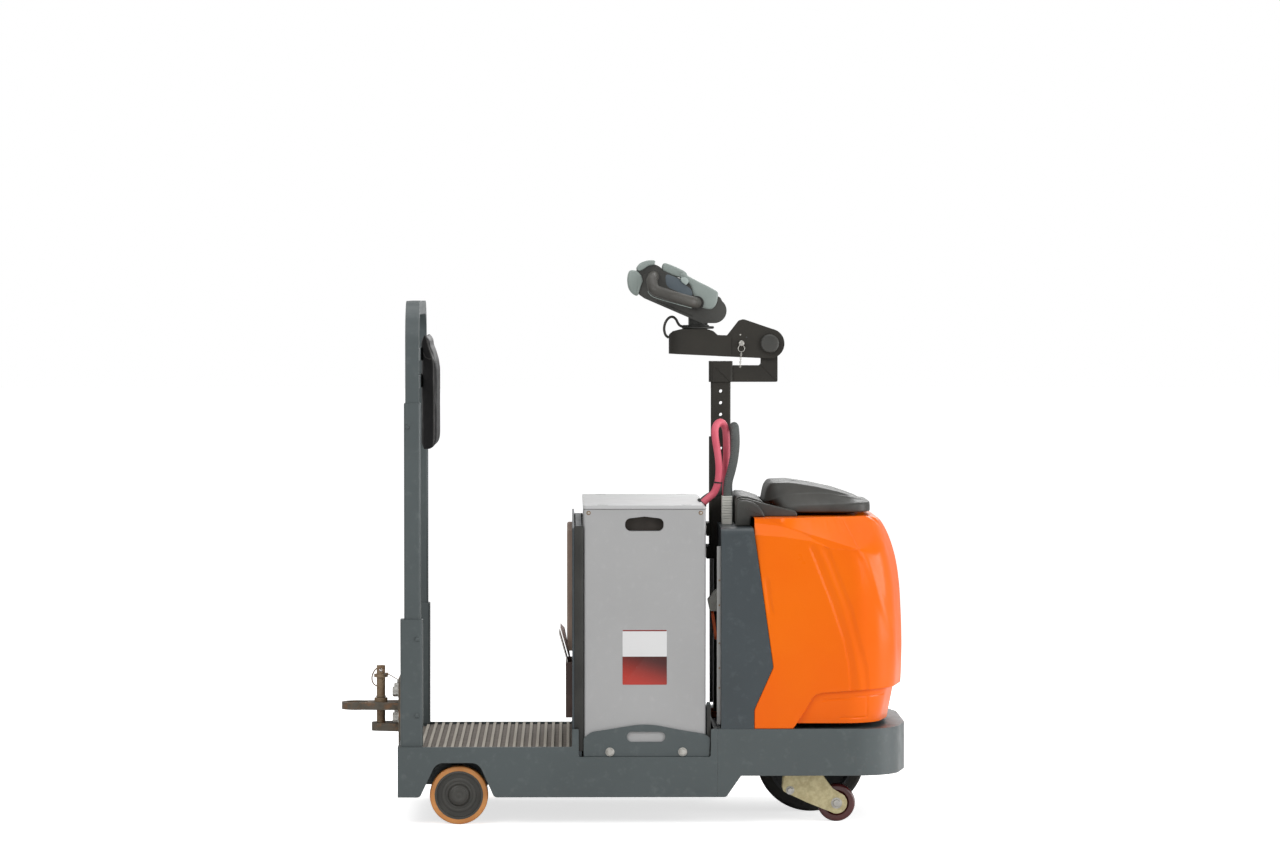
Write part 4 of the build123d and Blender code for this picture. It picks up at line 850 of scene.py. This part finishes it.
def cover_crest(column):
    """End of the wall, the bends over the shoulder's edge, and the outward direction there."""
    z_low = on_wall(column, CRESCENT_LOW, 850.0)
    place, out = cover_plan(UPPER, z_low, column)
    if column <= SIDE_COLUMNS + CORNER_COLUMNS and place.x < SHOULDER_END:
        z_high, fold = line_at(CRESCENT_HIGH, place.x), line_at(FOLD, place.x)
        high_in = 0.85 * (z_high - z_low) + 0.3
        fold_in = high_in + 0.3 * (fold - z_high)
        bends = []
        for t in (0.06, 0.5, 0.94, 1.0):
            bends.append((place - out * high_in * t, z_low + (z_high - z_low) * t))
        for t in (0.1, 0.5, 0.92, 1.0):
            bends.append((place - out * (high_in + (fold_in - high_in) * t), z_high + (fold - z_high) * t))
        return z_low, bends, out
    low, high = 600.0, COVER_TOP
    for _ in range(24):
        middle = (low + high) / 2
        if middle < shoulder_z(cover_plan(UPPER, middle, column)[0]):
            low = middle
        else:
            high = middle
    corner, out = cover_plan(UPPER, low, column)
    reach = 3 + 34 * step(corner.x, SHOULDER_END, SHOULDER_END + 50)
    if low > COVER_TOP - 1:
        reach = min(reach, 22)
    z_wall = low - reach * 0.8
    start = cover_plan(UPPER, z_wall, column)[0]
    end = corner - out * reach * 0.8
    z_end = min(COVER_TOP, max(shoulder_z(end), low))
    bends = []
    for row in range(1, CREST_ROWS + 1):
        t = row / CREST_ROWS
        spot = start * (1 - t) ** 2 + corner * 2 * t * (1 - t) + end * t * t
        bends.append((spot, z_wall * (1 - t) ** 2 + low * 2 * t * (1 - t) + z_end * t * t))
    return z_wall, bends, out


def cover_column(column):
    """Points from the cover's lower edge to its top, right half."""
    z_step = on_wall(column, STEP_LINE, 400.0)
    points = []
    foot = min(COVER_LOW, z_step)
    for row in range(LOWER_ROWS):
        z = foot + (z_step - foot) * row / (LOWER_ROWS - 1)
        place, out = cover_plan(LOWER, z, column)
        place = place - out * lower_relief(place, z)
        points.append((place.x, place.y, z))
    edge, out = cover_plan(UPPER, z_step, column)
    for inward, lift in ((3.2, 0.0), (1.0, 0.3), (0.2, 1.2)):
        points.append((edge.x - out.x * inward, edge.y - out.y * inward, z_step + lift))
    z_wall, bends, out = cover_crest(column)
    for row in range(WALL_ROWS):
        z = z_step + 3 + (z_wall - z_step - 3) * row / (WALL_ROWS - 1)
        place, direction = cover_plan(UPPER, z, column)
        place = place - direction * cover_relief(place, z)
        points.append((place.x, place.y, z))
    points += [(spot.x, spot.y, z) for spot, z in bends]
    crest, z_crest = bends[-1]
    length, end = 0.0, crest.copy()
    across = Vector((min(crest.x, SHOULDER_CENTRE), 0)) - crest
    inward, reach = across.normalized(), across.length - SHOULDER_GAP
    while z_crest < COVER_TOP and shoulder_z(end) < COVER_TOP and length < reach:
        length += 1.0
        end = crest + inward * length
    for row in range(1, SHOULDER_ROWS + 1):
        t = row / SHOULDER_ROWS
        spot = crest.lerp(end, t)
        points.append((spot.x, spot.y, z_crest + (COVER_TOP - z_crest) * t))
    return points


def make_cover():
    half = SIDE_COLUMNS + CORNER_COLUMNS + CHEEK_COLUMNS + CROWN_COLUMNS + NOSE_COLUMNS
    right = [cover_column(k) for k in range(half + 1)]
    left = [[(x, -y, z) for x, y, z in points] for points in reversed(right[:-1])]
    columns = right + left
    flange = [[(x + FLANGE, y * (1 - FLANGE / HALF), z) for x, y, z in columns[end]] for end in (0, -1)]
    columns = [flange[0]] + columns + [flange[1]]
    bm = bmesh.new()
    grid = [[bm.verts.new((x / 1000, y / 1000, z / 1000)) for x, y, z in points] for points in columns]
    for a, b in zip(grid, grid[1:]):
        for i in range(len(a) - 1):
            bm.faces.new((a[i], b[i], b[i + 1], a[i + 1]))
    bm.faces.new([points[-1] for points in grid[1:-1]])
    bmesh.ops.remove_doubles(bm, verts=bm.verts, dist=0.00002)
    piece = link_mesh("drive_cover_skin", bm, "cover_orange")
    sharpen(piece, 17, lambda place: place.x < 0.715 or place.z < 0.5)
    stand_in("drive_cover", "cover_orange", piece)


# Backrest pad, in metres
PAD_PROFILE = [(-0.6115, 1.116), (-0.580, 1.118), (-0.569, 1.128), (-0.5665, 1.150), (-0.5665, 1.372),
               (-0.5695, 1.398), (-0.577, 1.424), (-0.586, 1.448), (-0.5945, 1.470), (-0.5995, 1.480),
               (-0.6045, 1.4835), (-0.6095, 1.480), (-0.6115, 1.470)]
PAD_HALF = 0.1975
PAD_CAP = 0.0065
PAD_INSET = 0.004
PAD_BACK = -0.6119
PAD_FRAMES = 20
PAD_FOLD = [(-0.5765, 0.0012, 1.404), (-0.5835, 0.0022, 1.400), (-0.5935, 0.0025, 1.401),
            (-0.6035, 0.0022, 1.408), (-0.6090, 0.0010, 1.418)]


def pad_block():
    """The pad's profile filled between its sides, a little inside its final size."""
    middle_x, middle_z = -0.589, 1.2
    bm = bmesh.new()
    sides = [[bm.verts.new((x + math.copysign(PAD_INSET, middle_x - x), side * (PAD_HALF - PAD_INSET),
                            z + math.copysign(PAD_INSET, middle_z - z))) for x, z in PAD_PROFILE]
             for side in (-1, 1)]
    for k in range(len(PAD_PROFILE)):
        n = (k + 1) % len(PAD_PROFILE)
        bm.faces.new((sides[0][k], sides[0][n], sides[1][n], sides[1][k]))
    bm.faces.new(sides[0][::-1])
    bm.faces.new(sides[1])
    bmesh.ops.recalc_face_normals(bm, faces=bm.faces)
    return bm


def inflate(pad):
    """Blow the pad up by cloth pressure, with each point's travel capped."""
    start = [v.co.copy() for v in pad.data.vertices]
    cloth = pad.modifiers.new("cloth", "CLOTH")
    cloth.settings.use_pressure = True
    cloth.settings.uniform_pressure_force = 4
    cloth.settings.effector_weights.gravity = 0
    cloth.settings.quality = 5
    for number in range(1, PAD_FRAMES + 1):
        scene.frame_set(number)
    apply_modifiers(pad)
    scene.frame_set(1)
    for vertex, was in zip(pad.data.vertices, start):
        move = vertex.co - was
        if move.length > PAD_CAP:
            vertex.co = was + move * (PAD_CAP / move.length)


def hugging(piece, points):
    """The place on a fine mesh nearest to each point."""
    places = [vertex.co for vertex in piece.data.vertices]
    return [tuple(min(places, key=lambda place: (place - Vector(point)).length_squared)) for point in points]


def make_pad():
    """Foam pad in vinyl: filled, remeshed, blown up, creased and smoothed, with piping and a fold."""
    pad = link_mesh("backrest_cushion", pad_block(), "pad_vinyl")
    remesh = pad.modifiers.new("remesh", "REMESH")
    remesh.mode = "VOXEL"
    remesh.voxel_size = 0.006
    apply_modifiers(pad)
    inflate(pad)
    for vertex in pad.data.vertices:
        vertex.co.x = max(vertex.co.x, PAD_BACK)
        crease = noise.noise(Vector((vertex.co.y * 9, vertex.co.z * 7, 3.1))) * 0.0012
        if vertex.co.x > -0.60:
            vertex.co.x += crease
    subdivide(pad)
    stand_in("backrest_pad", "pad_vinyl", pad)
    for side, tag in SIDES:
        piping = [(x, side * (PAD_HALF - 0.001), z) for x, z in PAD_PROFILE[2:10]]
        wire(f"pad_piping_{tag}", hugging(pad, piping), 0.0026, "pad_edge", steps=5)
    for side, tag in SIDES:
        fold = [(x, side * (PAD_HALF + out), z) for x, out, z in PAD_FOLD]
        wire(f"pad_fold_{tag}", hugging(pad, fold), 0.0014, "pad_edge", steps=5)


# Thin mirrored lines: name, radius, material, body and points as on the left side
LINES = [
    ("lid_edge", 0.0016, "battery_lid_paint", "chassis",
     [(-0.112, 0.3935, 0.9572), (0.0, 0.3935, 0.9572), (0.244, 0.3935, 0.9572)]),
    ("lid_seam", 0.0011, "seal_black", "chassis",
     [(-0.117, 0.3953, 0.9516), (0.0, 0.3953, 0.9516), (0.249, 0.3953, 0.9516)]),
    ("mitre_weld", 0.0013, "column_paint", "chassis",
     [(0.4325, 0.0254, 1.3770), (0.457, 0.0256, 1.352), (0.4810, 0.0254, 1.3280)]),
    ("cap_weld", 0.0013, "column_paint", "chassis",
     [(0.3432, 0.0254, 1.3765), (0.3432, 0.0256, 1.352), (0.3432, 0.0254, 1.3275)]),
    ("cap_mitre", 0.0013, "column_paint", "chassis",
     [(0.289, 0.0360, 1.3724), (0.3128, 0.0362, 1.3494), (0.3367, 0.0360, 1.3270)]),
    ("cap_edge", 0.0011, "column_paint", "chassis",
     [(0.281, 0.0360, 1.3880), (0.281, 0.0362, 1.3550), (0.281, 0.0360, 1.3280)]),
    ("sleeve_weld", 0.0016, "frame_paint", "chassis",
     [(-0.667, 0.3972, 0.2368), (-0.640, 0.3976, 0.2368), (-0.606, 0.3972, 0.2368)]),
    ("grip_seam", 0.0011, "handle_grey", "handle",
     [(0.080, 0.1495, 1.606), (0.084, 0.1545, 1.595), (0.104, 0.157, 1.585), (0.146, 0.157, 1.573),
      (0.190, 0.150, 1.561), (0.213, 0.141, 1.555)]),
]


def line_details():
    for side, tag in SIDES:
        for name, radius, material, body, points in LINES:
            wire(f"{name}_{tag}", [(x, side * y, z) for x, y, z in points], radius, material, body)


# Battery, in metres
BATTERY_SIDE = 0.3948
RETAINER_FACE = 0.4024
RIVET_Z = 0.940
GRIP_MIDDLE = (0.065, 0.3675, 0.9032)
GRIP_OUTLINE = [(-0.050, -0.0178), (0.050, -0.0178), (0.0565, -0.012), (0.0575, 0.010), (0.052, 0.0182),
                (0.0, 0.0250), (-0.052, 0.0182), (-0.0575, 0.010), (-0.0565, -0.012)]
PAPERS = 5
PAPER_FOOT = (-0.1600, 0.4700)
PAPER_TOP = (-0.1888, 0.5715)


def battery_details():
    for side, tag in SIDES:
        for n, x in enumerate((-0.039, 0.180)):
            hex_bolt(f"retainer_bolt_{n}_{tag}", (x, side * RETAINER_FACE, 0.220), (0, side, 0), 0.0108,
                     0.0056, 0.0135)
        for n, x in enumerate((-0.103, 0.2345)):
            dome(f"battery_rivet_{n}_{tag}", (x, BATTERY_SIDE, RIVET_Z), side, 0.0066, 0.0016, "pin_steel")
            dome(f"rivet_centre_{n}_{tag}", (x, BATTERY_SIDE + 0.0012, RIVET_Z), side, 0.0036, 0.0024,
                 "zinc")
        # Dark sheets on the lid slots: painted shade where the slots open
        for n, x in enumerate((-0.060, 0.192)):
            plate_piece(f"lid_slot_{n}_{tag}", rounded(-0.016, 0.016, -0.0035, 0.0035, 0.0033),
                        (x, side * 0.362, 0.9618), (1, 0, 0), (0, 1, 0), 0.0005, "dark_hollow")
        # Dark sheet inside the grip hole: painted shade
        x, y, z = GRIP_MIDDLE
        plate_piece(f"grip_painted_shade_{tag}", GRIP_OUTLINE, (x, side * y, z), (-side, 0, 0), (0, 0, 1), 0.0006,
                    "dark_hollow")
        # Thin black sheets on the bay's rear wall, gap and stop and on the front stop: painted shade
        side_piece(f"bay_painted_shade_{tag}", rounded(-0.1458, -0.1182, 0.222, 0.901, 0.003), side, 0.3978, 0.3988,
                   "shell_black", 0.0003)
        side_piece(f"stop_painted_shade_{tag}", rounded(0.2535, 0.2645, 0.222, 0.362, 0.004), side, 0.3948, 0.3960,
                   "shell_black", 0.0004)
    label_side = -BATTERY_SIDE - 0.0001
    plate_piece("battery_plate", rounded(-0.001, 0.1325, 0.422, 0.588, 0.003), (0, label_side, 0), (1, 0, 0),
                (0, 0, 1), 0.0006, "battery_label", 0.0002)
    plate_piece("label_stripe", rounded(-0.0005, 0.1320, 0.5835, 0.5875, 0.0015),
                (0, label_side - 0.00062, 0), (1, 0, 0), (0, 0, 1), 0.0003, "label_red")


def paper_details():
    """Sheets fanned out a little at the top of the document pocket."""
    for n in range(PAPERS):
        foot, foot_z = PAPER_FOOT[0] + 0.0004 * n, PAPER_FOOT[1]
        top, top_z = PAPER_TOP[0] + 0.0026 * n, PAPER_TOP[1] - 0.003 * n
        sheet = [(foot, foot_z), (foot + 0.0003, foot_z), (top + 0.0024, top_z), (top, top_z)]
        side_piece(f"paper_{n}", sheet, 1, -0.082 + 0.003 * n, 0.094 + 0.002 * n, "paper_pale")


def cable_details():
    for n, (route, radius) in enumerate(((RED_ROUTE, RED_RADIUS), (DARK_ROUTE, DARK_RADIUS))):
        gland = [(-0.006, 0.0), (-0.006, radius + 0.003), (0.001, radius + 0.003), (0.002, radius + 0.002),
                 (0.002, radius - 0.001)]
        turned(f"cable_gland_{n}", gland, route[0], (1, 0, 1), "seal_black", steps=40)
    tie = [(-0.0022, 0.0117), (-0.0022, 0.0132), (0.0022, 0.0132), (0.0022, 0.0117)]
    turned("cable_tie", tie, (0.2945, -0.1525, 1.021), (0.1, 0, 1), "seal_black", steps=32)


# Column and arm, in metres
STRIP_OUTLINE = (0.2840, 0.2956, 0.300, 0.838, 0.002)
STRIP_SCREWS = (0.41, 0.47, 0.545, 0.66, 0.735)
CHAIN_LINKS = 8
CHAIN_TOP = (0.3685, -0.0575, 1.4165)
CHAIN_PITCH = 0.0058


def column_details():
    low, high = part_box("column_sleeve")
    face, front, foot = high[1], high[0] - 0.001, low[2]
    for side, tag in SIDES:
        side_piece(f"sleeve_foot_{tag}", rounded(0.277, front, foot + 0.001, foot + 0.021, 0.002), side,
                   face - 0.002, face + 0.0008, "rusted", 0.0004)
        # Orange strip up the sleeve's front edge: a painted orange highlight on the dark column paint
        side_piece(f"sleeve_painted_highlight_{tag}", rounded(front - 0.010, front, foot + 0.020, foot + 0.130, 0.002),
                   side, face - 0.002, face + 0.0006, "rusted", 0.0003)
        for n, z in enumerate((0.802, 0.872)):
            hex_bolt(f"clamp_bolt_{n}_{tag}", (0.2626, side * 0.0465, z), (-1, 0, 0), 0.0085, 0.0055, 0.011)
        dome(f"cheek_rivet_0_{tag}", (0.366, 0.0409, 1.472), side, 0.0026, 0.0012, "zinc", "arm")
        dome(f"cheek_rivet_1_{tag}", (0.3855, 0.0409, 1.464), side, 0.0024, 0.0011, "cast_housing", "arm")
        # Pale strip with screws on the panel flange: its pale colour is a painted reflection on grey paint
        side_piece(f"panel_strip_{tag}", rounded(*STRIP_OUTLINE), side, 0.366, 0.370, "pale_rail", 0.0008)
        for n, z in enumerate(STRIP_SCREWS):
            dome(f"strip_screw_{n}_{tag}", (0.2915, 0.3699, z), side, 0.0028, 0.0014, "pin_steel")


def lock_pin_details():
    """The lock pin's head, its ring and the chain that holds it."""
    turned("lock_pin_head", [(0, 0.0085), (0.003, 0.0085), (0.0045, 0.007), (0.0045, 0.0)],
           (0.3696, -0.0552, 1.446), (0, -1, 0), "zinc", "arm", 32)
    ring = circle_points((0.3690, -0.0575, 1.4300), 0.0105, (0, 1, 0), 12)
    wire("lock_pin_ring", ring, 0.0010, "zinc", "arm", closed=True)
    x, y, z_top = CHAIN_TOP
    for n in range(CHAIN_LINKS):
        normal = (0, 1, 0) if n % 2 else (1, 0, 0)
        z = z_top - CHAIN_PITCH * n
        points = circle_points((x - 0.0005 * n, y, z), 0.0024, normal, 10)
        long_link = [Vector((q.x, q.y, z + (q.z - z) * 2.0)) for q in points]
        wire(f"chain_link_{n}", long_link, 0.0008, "zinc", "arm", closed=True, steps=3)


# Hitch, in metres
HITCH_FACE = -0.6868
PIN_RING = [(-0.744, -0.019, 0.4355), (-0.744, 0.0, 0.4358), (-0.744, 0.019, 0.4355),
            (-0.757, 0.024, 0.440), (-0.768, 0.020, 0.428), (-0.774, 0.012, 0.408), (-0.768, 0.004, 0.391),
            (-0.756, -0.002, 0.3845), (-0.743, -0.009, 0.393), (-0.734, -0.015, 0.408),
            (-0.7305, -0.020, 0.425), (-0.734, -0.024, 0.438)]
LANYARD = [(-0.7215, -0.021, 0.4245), (-0.712, -0.022, 0.419), (-0.701, -0.026, 0.413),
           (-0.692, -0.030, 0.4085), (-0.6872, -0.031, 0.4050)]


def hitch_details():
    wire("hitch_pin_ring", PIN_RING, 0.0019, "pin_steel", closed=True)
    ferrule = [(-0.007, 0.0), (-0.007, 0.003), (-0.005, 0.0045), (0.005, 0.0045), (0.007, 0.003),
               (0.007, 0.0)]
    turned("lanyard_ferrule", ferrule, (-0.7275, -0.021, 0.4235), (1, 0, 0.2), "hitch_steel", steps=24)
    wire("hitch_lanyard", LANYARD, 0.0013, "hitch_steel")
    hex_bolt("lanyard_bolt", (HITCH_FACE - 0.0001, -0.031, 0.403), (-1, 0, 0), 0.006, 0.004, 0.0085)
    for side, tag in SIDES:
        for n, z in enumerate((0.295, 0.374)):
            hex_bolt(f"hitch_bolt_{n}_{tag}", (HITCH_FACE, side * 0.068, z), (-1, 0, 0), 0.0159, 0.0168,
                     0.0195)
    for n, z in enumerate((0.2732, 0.3151)):
        weld = [(-0.6885, y, z) for y in (-0.054, -0.025, 0.0, 0.025, 0.054)]
        wire(f"hitch_weld_{n}", weld, 0.0022, "hitch_steel")
    clip = [(0.0, 0.0142), (0.0, 0.0165), (0.0018, 0.0165), (0.0018, 0.0142)]
    turned("hitch_retaining_clip", clip, (-0.744, 0, 0.3525), (0, 0, 1), "pin_steel", steps=36)


UPRIGHT_BOLTS = [(-0.648, 0.3919, 1.199), (-0.620, 0.3979, 0.560), (-0.620, 0.3979, 0.330)]


def backrest_details():
    for side, tag in SIDES:
        for n, (x, y, z) in enumerate(UPRIGHT_BOLTS):
            hex_bolt(f"upright_bolt_{n}_{tag}", (x, side * y, z), (0, side, 0), 0.0058, 0.0035, 0.008,
                     "frame_paint")
        plate_piece(f"upright_lip_{tag}", rounded(-0.6572, -0.6085, -0.0240, 0.0240, 0.006),
                    (0, side * 0.3669, 1.2679), (1, 0, 0), (0, 1, 0), 0.0022, "frame_paint", 0.0012)


# Wheels, in metres: profiles of (out, radius) points
REAR_AXLE = (-0.494, 0.088)
AXLE_CAP = [(0, 0.0225), (0.002, 0.0225), (0.0032, 0.0205), (0.0032, 0.013), (0.0022, 0.0115),
            (0.0022, 0.006), (0.0030, 0.0045), (0.0030, 0.0)]
HUB_RING = [(0, 0.052), (0.002, 0.052), (0.003, 0.050), (0.003, 0.044), (0.002, 0.042), (0.0, 0.042)]
CASTER_CAP = [(0, 0.0195), (0.0012, 0.0195), (0.0018, 0.018), (0.0018, 0.0095)]
CASTER_AXLE = (0.648, 0.300, 0.057)


def wheel_details():
    for side, tag in SIDES:
        x, z = REAR_AXLE
        body = f"rear_wheel_{tag}"
        turned(f"axle_cap_{tag}", AXLE_CAP, (x, side * 0.3842, z), (0, side, 0), "hub_black", body, 56)
        turned(f"hub_ring_{tag}", HUB_RING, (x, side * 0.3710, z), (0, side, 0), "hub_black", body, 64)
        x, y, z = CASTER_AXLE
        for way in (-1, 1):
            where = f"{'outer' if way == side else 'inner'}_{tag}"
            cheek, axis = side * y + way * 0.0351, (0, way, 0)
            hex_bolt(f"fork_bolt_{where}", (0.507, cheek, 0.096), axis, 0.0095, 0.006, 0.013, "zinc",
                     f"caster_{tag}")
            hex_bolt(f"caster_axle_nut_{where}", (x, cheek, z), axis, 0.0125, 0.009, 0.017, "zinc",
                     f"caster_{tag}")
            turned(f"caster_cap_{where}", CASTER_CAP, (x, side * y + way * 0.0250, z), axis, "zinc",
                   f"caster_wheel_{tag}", 40)


# Top tray, in millimetres, with heights as functions of x
CROWN_LINE = [(430.0, 966.0), (442.0, 1008.0), (456.0, 1022.5), (516.0, 1023.4), (584.0, 1013.1),
              (663.0, 995.9), (726.0, 974.8)]
LEDGE_LINE = [(440.0, 962.0), (477.0, 979.0), (522.0, 987.6), (574.0, 991.0), (626.0, 990.0), (707.0, 977.6),
              (742.0, 967.0)]
TRAY_BACK = 466.0
TRAY_STEPS = 120


def slope(z, rise=0.0):
    return lambda x: z + (x - TRAY_BACK) * rise


def ledge(drop, share=1.0):
    return lambda x: 958 + share * (line_at(LEDGE_LINE, x) - 958) - drop


def crown(drop):
    return lambda x: line_at(CROWN_LINE, x) - drop


def wall(lift, drop):
    return lambda x: max(line_at(LEDGE_LINE, x) + lift, line_at(CROWN_LINE, x) - drop)


# Loops from the foot to the crown: rear x, front x, half width, squareness and height
TRAY_LOOPS = [
    (530, 720, 190, 4.0, slope(922.4)), (530, 720, 190, 4.0, slope(931.0)),
    (474, 757, 221, 5.0, slope(932.0)), (467, 762, 226.5, 5.0, slope(934.0)),
    (466, 763, 227.5, 5.0, slope(936.5)),
    (466, 762.5, 227, 5.0, slope(949, 0.036)), (466, 760, 224.5, 5.0, slope(952, 0.037)),
    (462, 755, 218, 5.0, slope(954, 0.036)), (448, 746, 204, 4.6, ledge(0, 0.55)),
    (436, 740, 197, 4.4, ledge(4)), (432, 738, 195, 4.3, ledge(0)), (431, 735, 192.5, 4.3, ledge(0.5)),
    (431, 731, 188.5, 4.3, wall(1, 20)), (434, 729, 184, 4.3, wall(2, 6)), (438, 727, 182, 4.2, crown(2.5)),
    (444, 724, 177, 4.1, crown(0.8)), (458, 706, 150, 3.8, crown(0.3)), (485, 672, 80, 3.0, crown(0)),
    (530, 625, 30, 2.4, crown(0))]


def tray_loop(bm, rear, front, half, power, height):
    """One loop of the tray: a rounded rectangle in plan, with its height given along x."""
    loop = []
    for k in range(TRAY_STEPS):
        c, d = on_circle(1, k, TRAY_STEPS)
        x = (rear + front) / 2 + (front - rear) / 2 * math.copysign(abs(c) ** (2 / power), c)
        y = half * math.copysign(abs(d) ** (2 / power), d)
        loop.append(bm.verts.new((x / 1000, y / 1000, height(x) / 1000)))
    return loop


def make_tray():
    bm = bmesh.new()
    loops = [tray_loop(bm, *row) for row in TRAY_LOOPS]
    for a, b in zip(loops, loops[1:]):
        for k in range(TRAY_STEPS):
            n = (k + 1) % TRAY_STEPS
            bm.faces.new((a[k], a[n], b[n], b[k]))
    bm.faces.new(loops[0][::-1])
    bm.faces.new(loops[-1])
    piece = link_mesh("tray_shell", bm, "black_plastic")
    subdivide(piece)
    stand_in("top_tray", "black_plastic", piece)


# Dash, in millimetres: side outlines of the middle, the wedge beside it and the pod outside
DASH_MIDDLE = [(345.5, 894.4), (345.5, 968), (350, 977), (360, 982.5), (380, 981.5), (400, 976), (428, 966),
               (428, 894.4)]
DASH_WEDGE = [(345.5, 894.4), (345.5, 964), (350, 973), (360, 978), (384, 975), (430, 962), (480, 950),
              (524, 939), (531, 933), (531, 922.4), (389, 922.4), (389, 894.4)]
DASH_POD = [(345.5, 894.4), (345.5, 960), (349, 968), (358, 972), (378, 971.5), (397, 966), (412, 956),
            (423, 943), (430, 930), (432, 922.4), (389, 922.4), (389, 894.4)]
# Name, outline, inner and outer distance from the middle plane, and bevel, in metres
DASH_PARTS = [("dash_middle", DASH_MIDDLE, 0.0, 0.2255, 0.0),
              ("dash_wedge", DASH_WEDGE, 0.2250, 0.2620, 0.004),
              ("dash_pod", DASH_POD, 0.2600, 0.3000, 0.006)]


def make_dash():
    pieces = [side_piece(f"{name}_{tag}", metres(outline), side, near, far, "black_plastic", bevel,
                         segments=4)
              for side, tag in SIDES for name, outline, near, far, bevel in DASH_PARTS]
    stand_in("dash_console", "black_plastic", *pieces)


# Control handle, in millimetres: side outlines with their corners still sharp
HANDLE_SHELL = [(177, 1660), (193, 1666), (203, 1653), (294, 1608), (298, 1598), (295, 1574),
                (288, 1559), (274, 1549), (248, 1555), (240, 1562), (234, 1579), (223, 1592),
                (217, 1612), (210, 1630), (184, 1642)]
HANDLE_TOP = [(124, 1672), (129, 1695), (152, 1688), (196, 1668), (204, 1655), (200, 1648), (176, 1648),
              (138, 1664)]
HANDLE_RECESS = [(133, 1664), (178, 1646), (195, 1628), (216, 1613), (221, 1594), (206, 1586), (172, 1604),
                 (136, 1620)]
HANDLE_CLIP = [(180, 1649), (201, 1649), (208, 1635), (198, 1624), (191, 1630), (184, 1635)]
TOP_PADDLE = [(45, 1677), (58, 1694), (80, 1701.6), (105, 1702.0), (102, 1687), (82, 1685), (66, 1672),
              (52, 1667)]
REAR_PADDLE = [(21, 1662), (28, 1672), (47, 1670), (60, 1657), (67, 1641), (58, 1620), (51, 1590),
               (35, 1597), (22, 1614), (18, 1640)]
CORNER_CUT = 0.22
# Piece, outline, inner and outer distance, material, bevel in metres and its segments
COVER_PARTS = [("handle_shell", HANDLE_SHELL, 0.0, 0.0635, "handle_grey", 0.0065, 4),
               ("handle_flat", HANDLE_TOP, 0.0, 0.0600, "handle_grey", 0.0060, 4)]
INSERT_PARTS = [("handle_recess", HANDLE_RECESS, 0.030, 0.0590, "recess_grey", 0.003, 3),
                ("handle_clip", HANDLE_CLIP, 0.050, 0.0655, "handle_pale", 0.002, 3)]
PADDLE_PARTS = [("top_paddle", TOP_PADDLE, 0.010, 0.0650, "handle_grey", 0.005, 4),
                ("rear_paddle", REAR_PADDLE, 0.010, 0.0660, "handle_grey", 0.006, 4)]
GRIP_COLLAR = [(-0.004, 0.0165), (-0.004, 0.0205), (-0.002, 0.0215), (0.003, 0.0215), (0.005, 0.0205),
               (0.005, 0.0165)]
TURN_FLANGE = [(0.0, 0.0), (0.0, 0.0470), (0.0018, 0.0500), (0.0062, 0.0500), (0.0078, 0.0480),
               (0.0078, 0.0)]
BODY_RIBS = 5


def softened(points):
    """Closed outline with its corners cut twice over."""
    keep = 1 - CORNER_CUT
    for _ in range(2):
        cut = []
        for (x0, z0), (x1, z1) in zip(points, points[1:] + points[:1]):
            cut += [(x0 * keep + x1 * CORNER_CUT, z0 * keep + z1 * CORNER_CUT),
                    (x0 * CORNER_CUT + x1 * keep, z0 * CORNER_CUT + z1 * keep)]
        points = cut
    return points


def handle_parts(rows):
    return [side_piece(f"{name}_{tag}", softened(metres(outline)), side, near, far, material, bevel,
                       "handle", segments)
            for side, tag in SIDES for name, outline, near, far, material, bevel, segments in rows]


def make_handle():
    stand_in("handle_cover", "handle_grey", *handle_parts(COVER_PARTS))
    handle_parts(INSERT_PARTS)
    stand_in("handle_paddles", "handle_grey", *handle_parts(PADDLE_PARTS))
    for side, tag in SIDES:
        turned(f"grip_collar_{tag}", GRIP_COLLAR, (0.2318, side * 0.0690, 1.5702), (0.05, side, 0),
               "shell_black", "handle", 40)
        for n in range(BODY_RIBS):
            x, z = 0.120 + 0.022 * n, 1.5675 - 0.0094 * n
            rib = [(x - 0.012, side * 0.0582, z + 0.010), (x, side * 0.0586, z + 0.004),
                   (x + 0.012, side * 0.0582, z - 0.001)]
            wire(f"body_rib_{n}_{tag}", rib, 0.0012, "shell_black", "handle")
    turned("turn_flange", TURN_FLANGE, (0.2365, 0, 1.4905), (0, 0, 1), "shell_black", "arm", 56)


def main():
    make_camera()
    make_materials()
    dress()
    for make in (make_cords, make_cover, make_pad, line_details, battery_details, paper_details,
                 cable_details, column_details, lock_pin_details, hitch_details, backrest_details,
                 wheel_details, make_tray, make_dash, make_handle, make_floor, make_world, make_lights):
        make()


main()
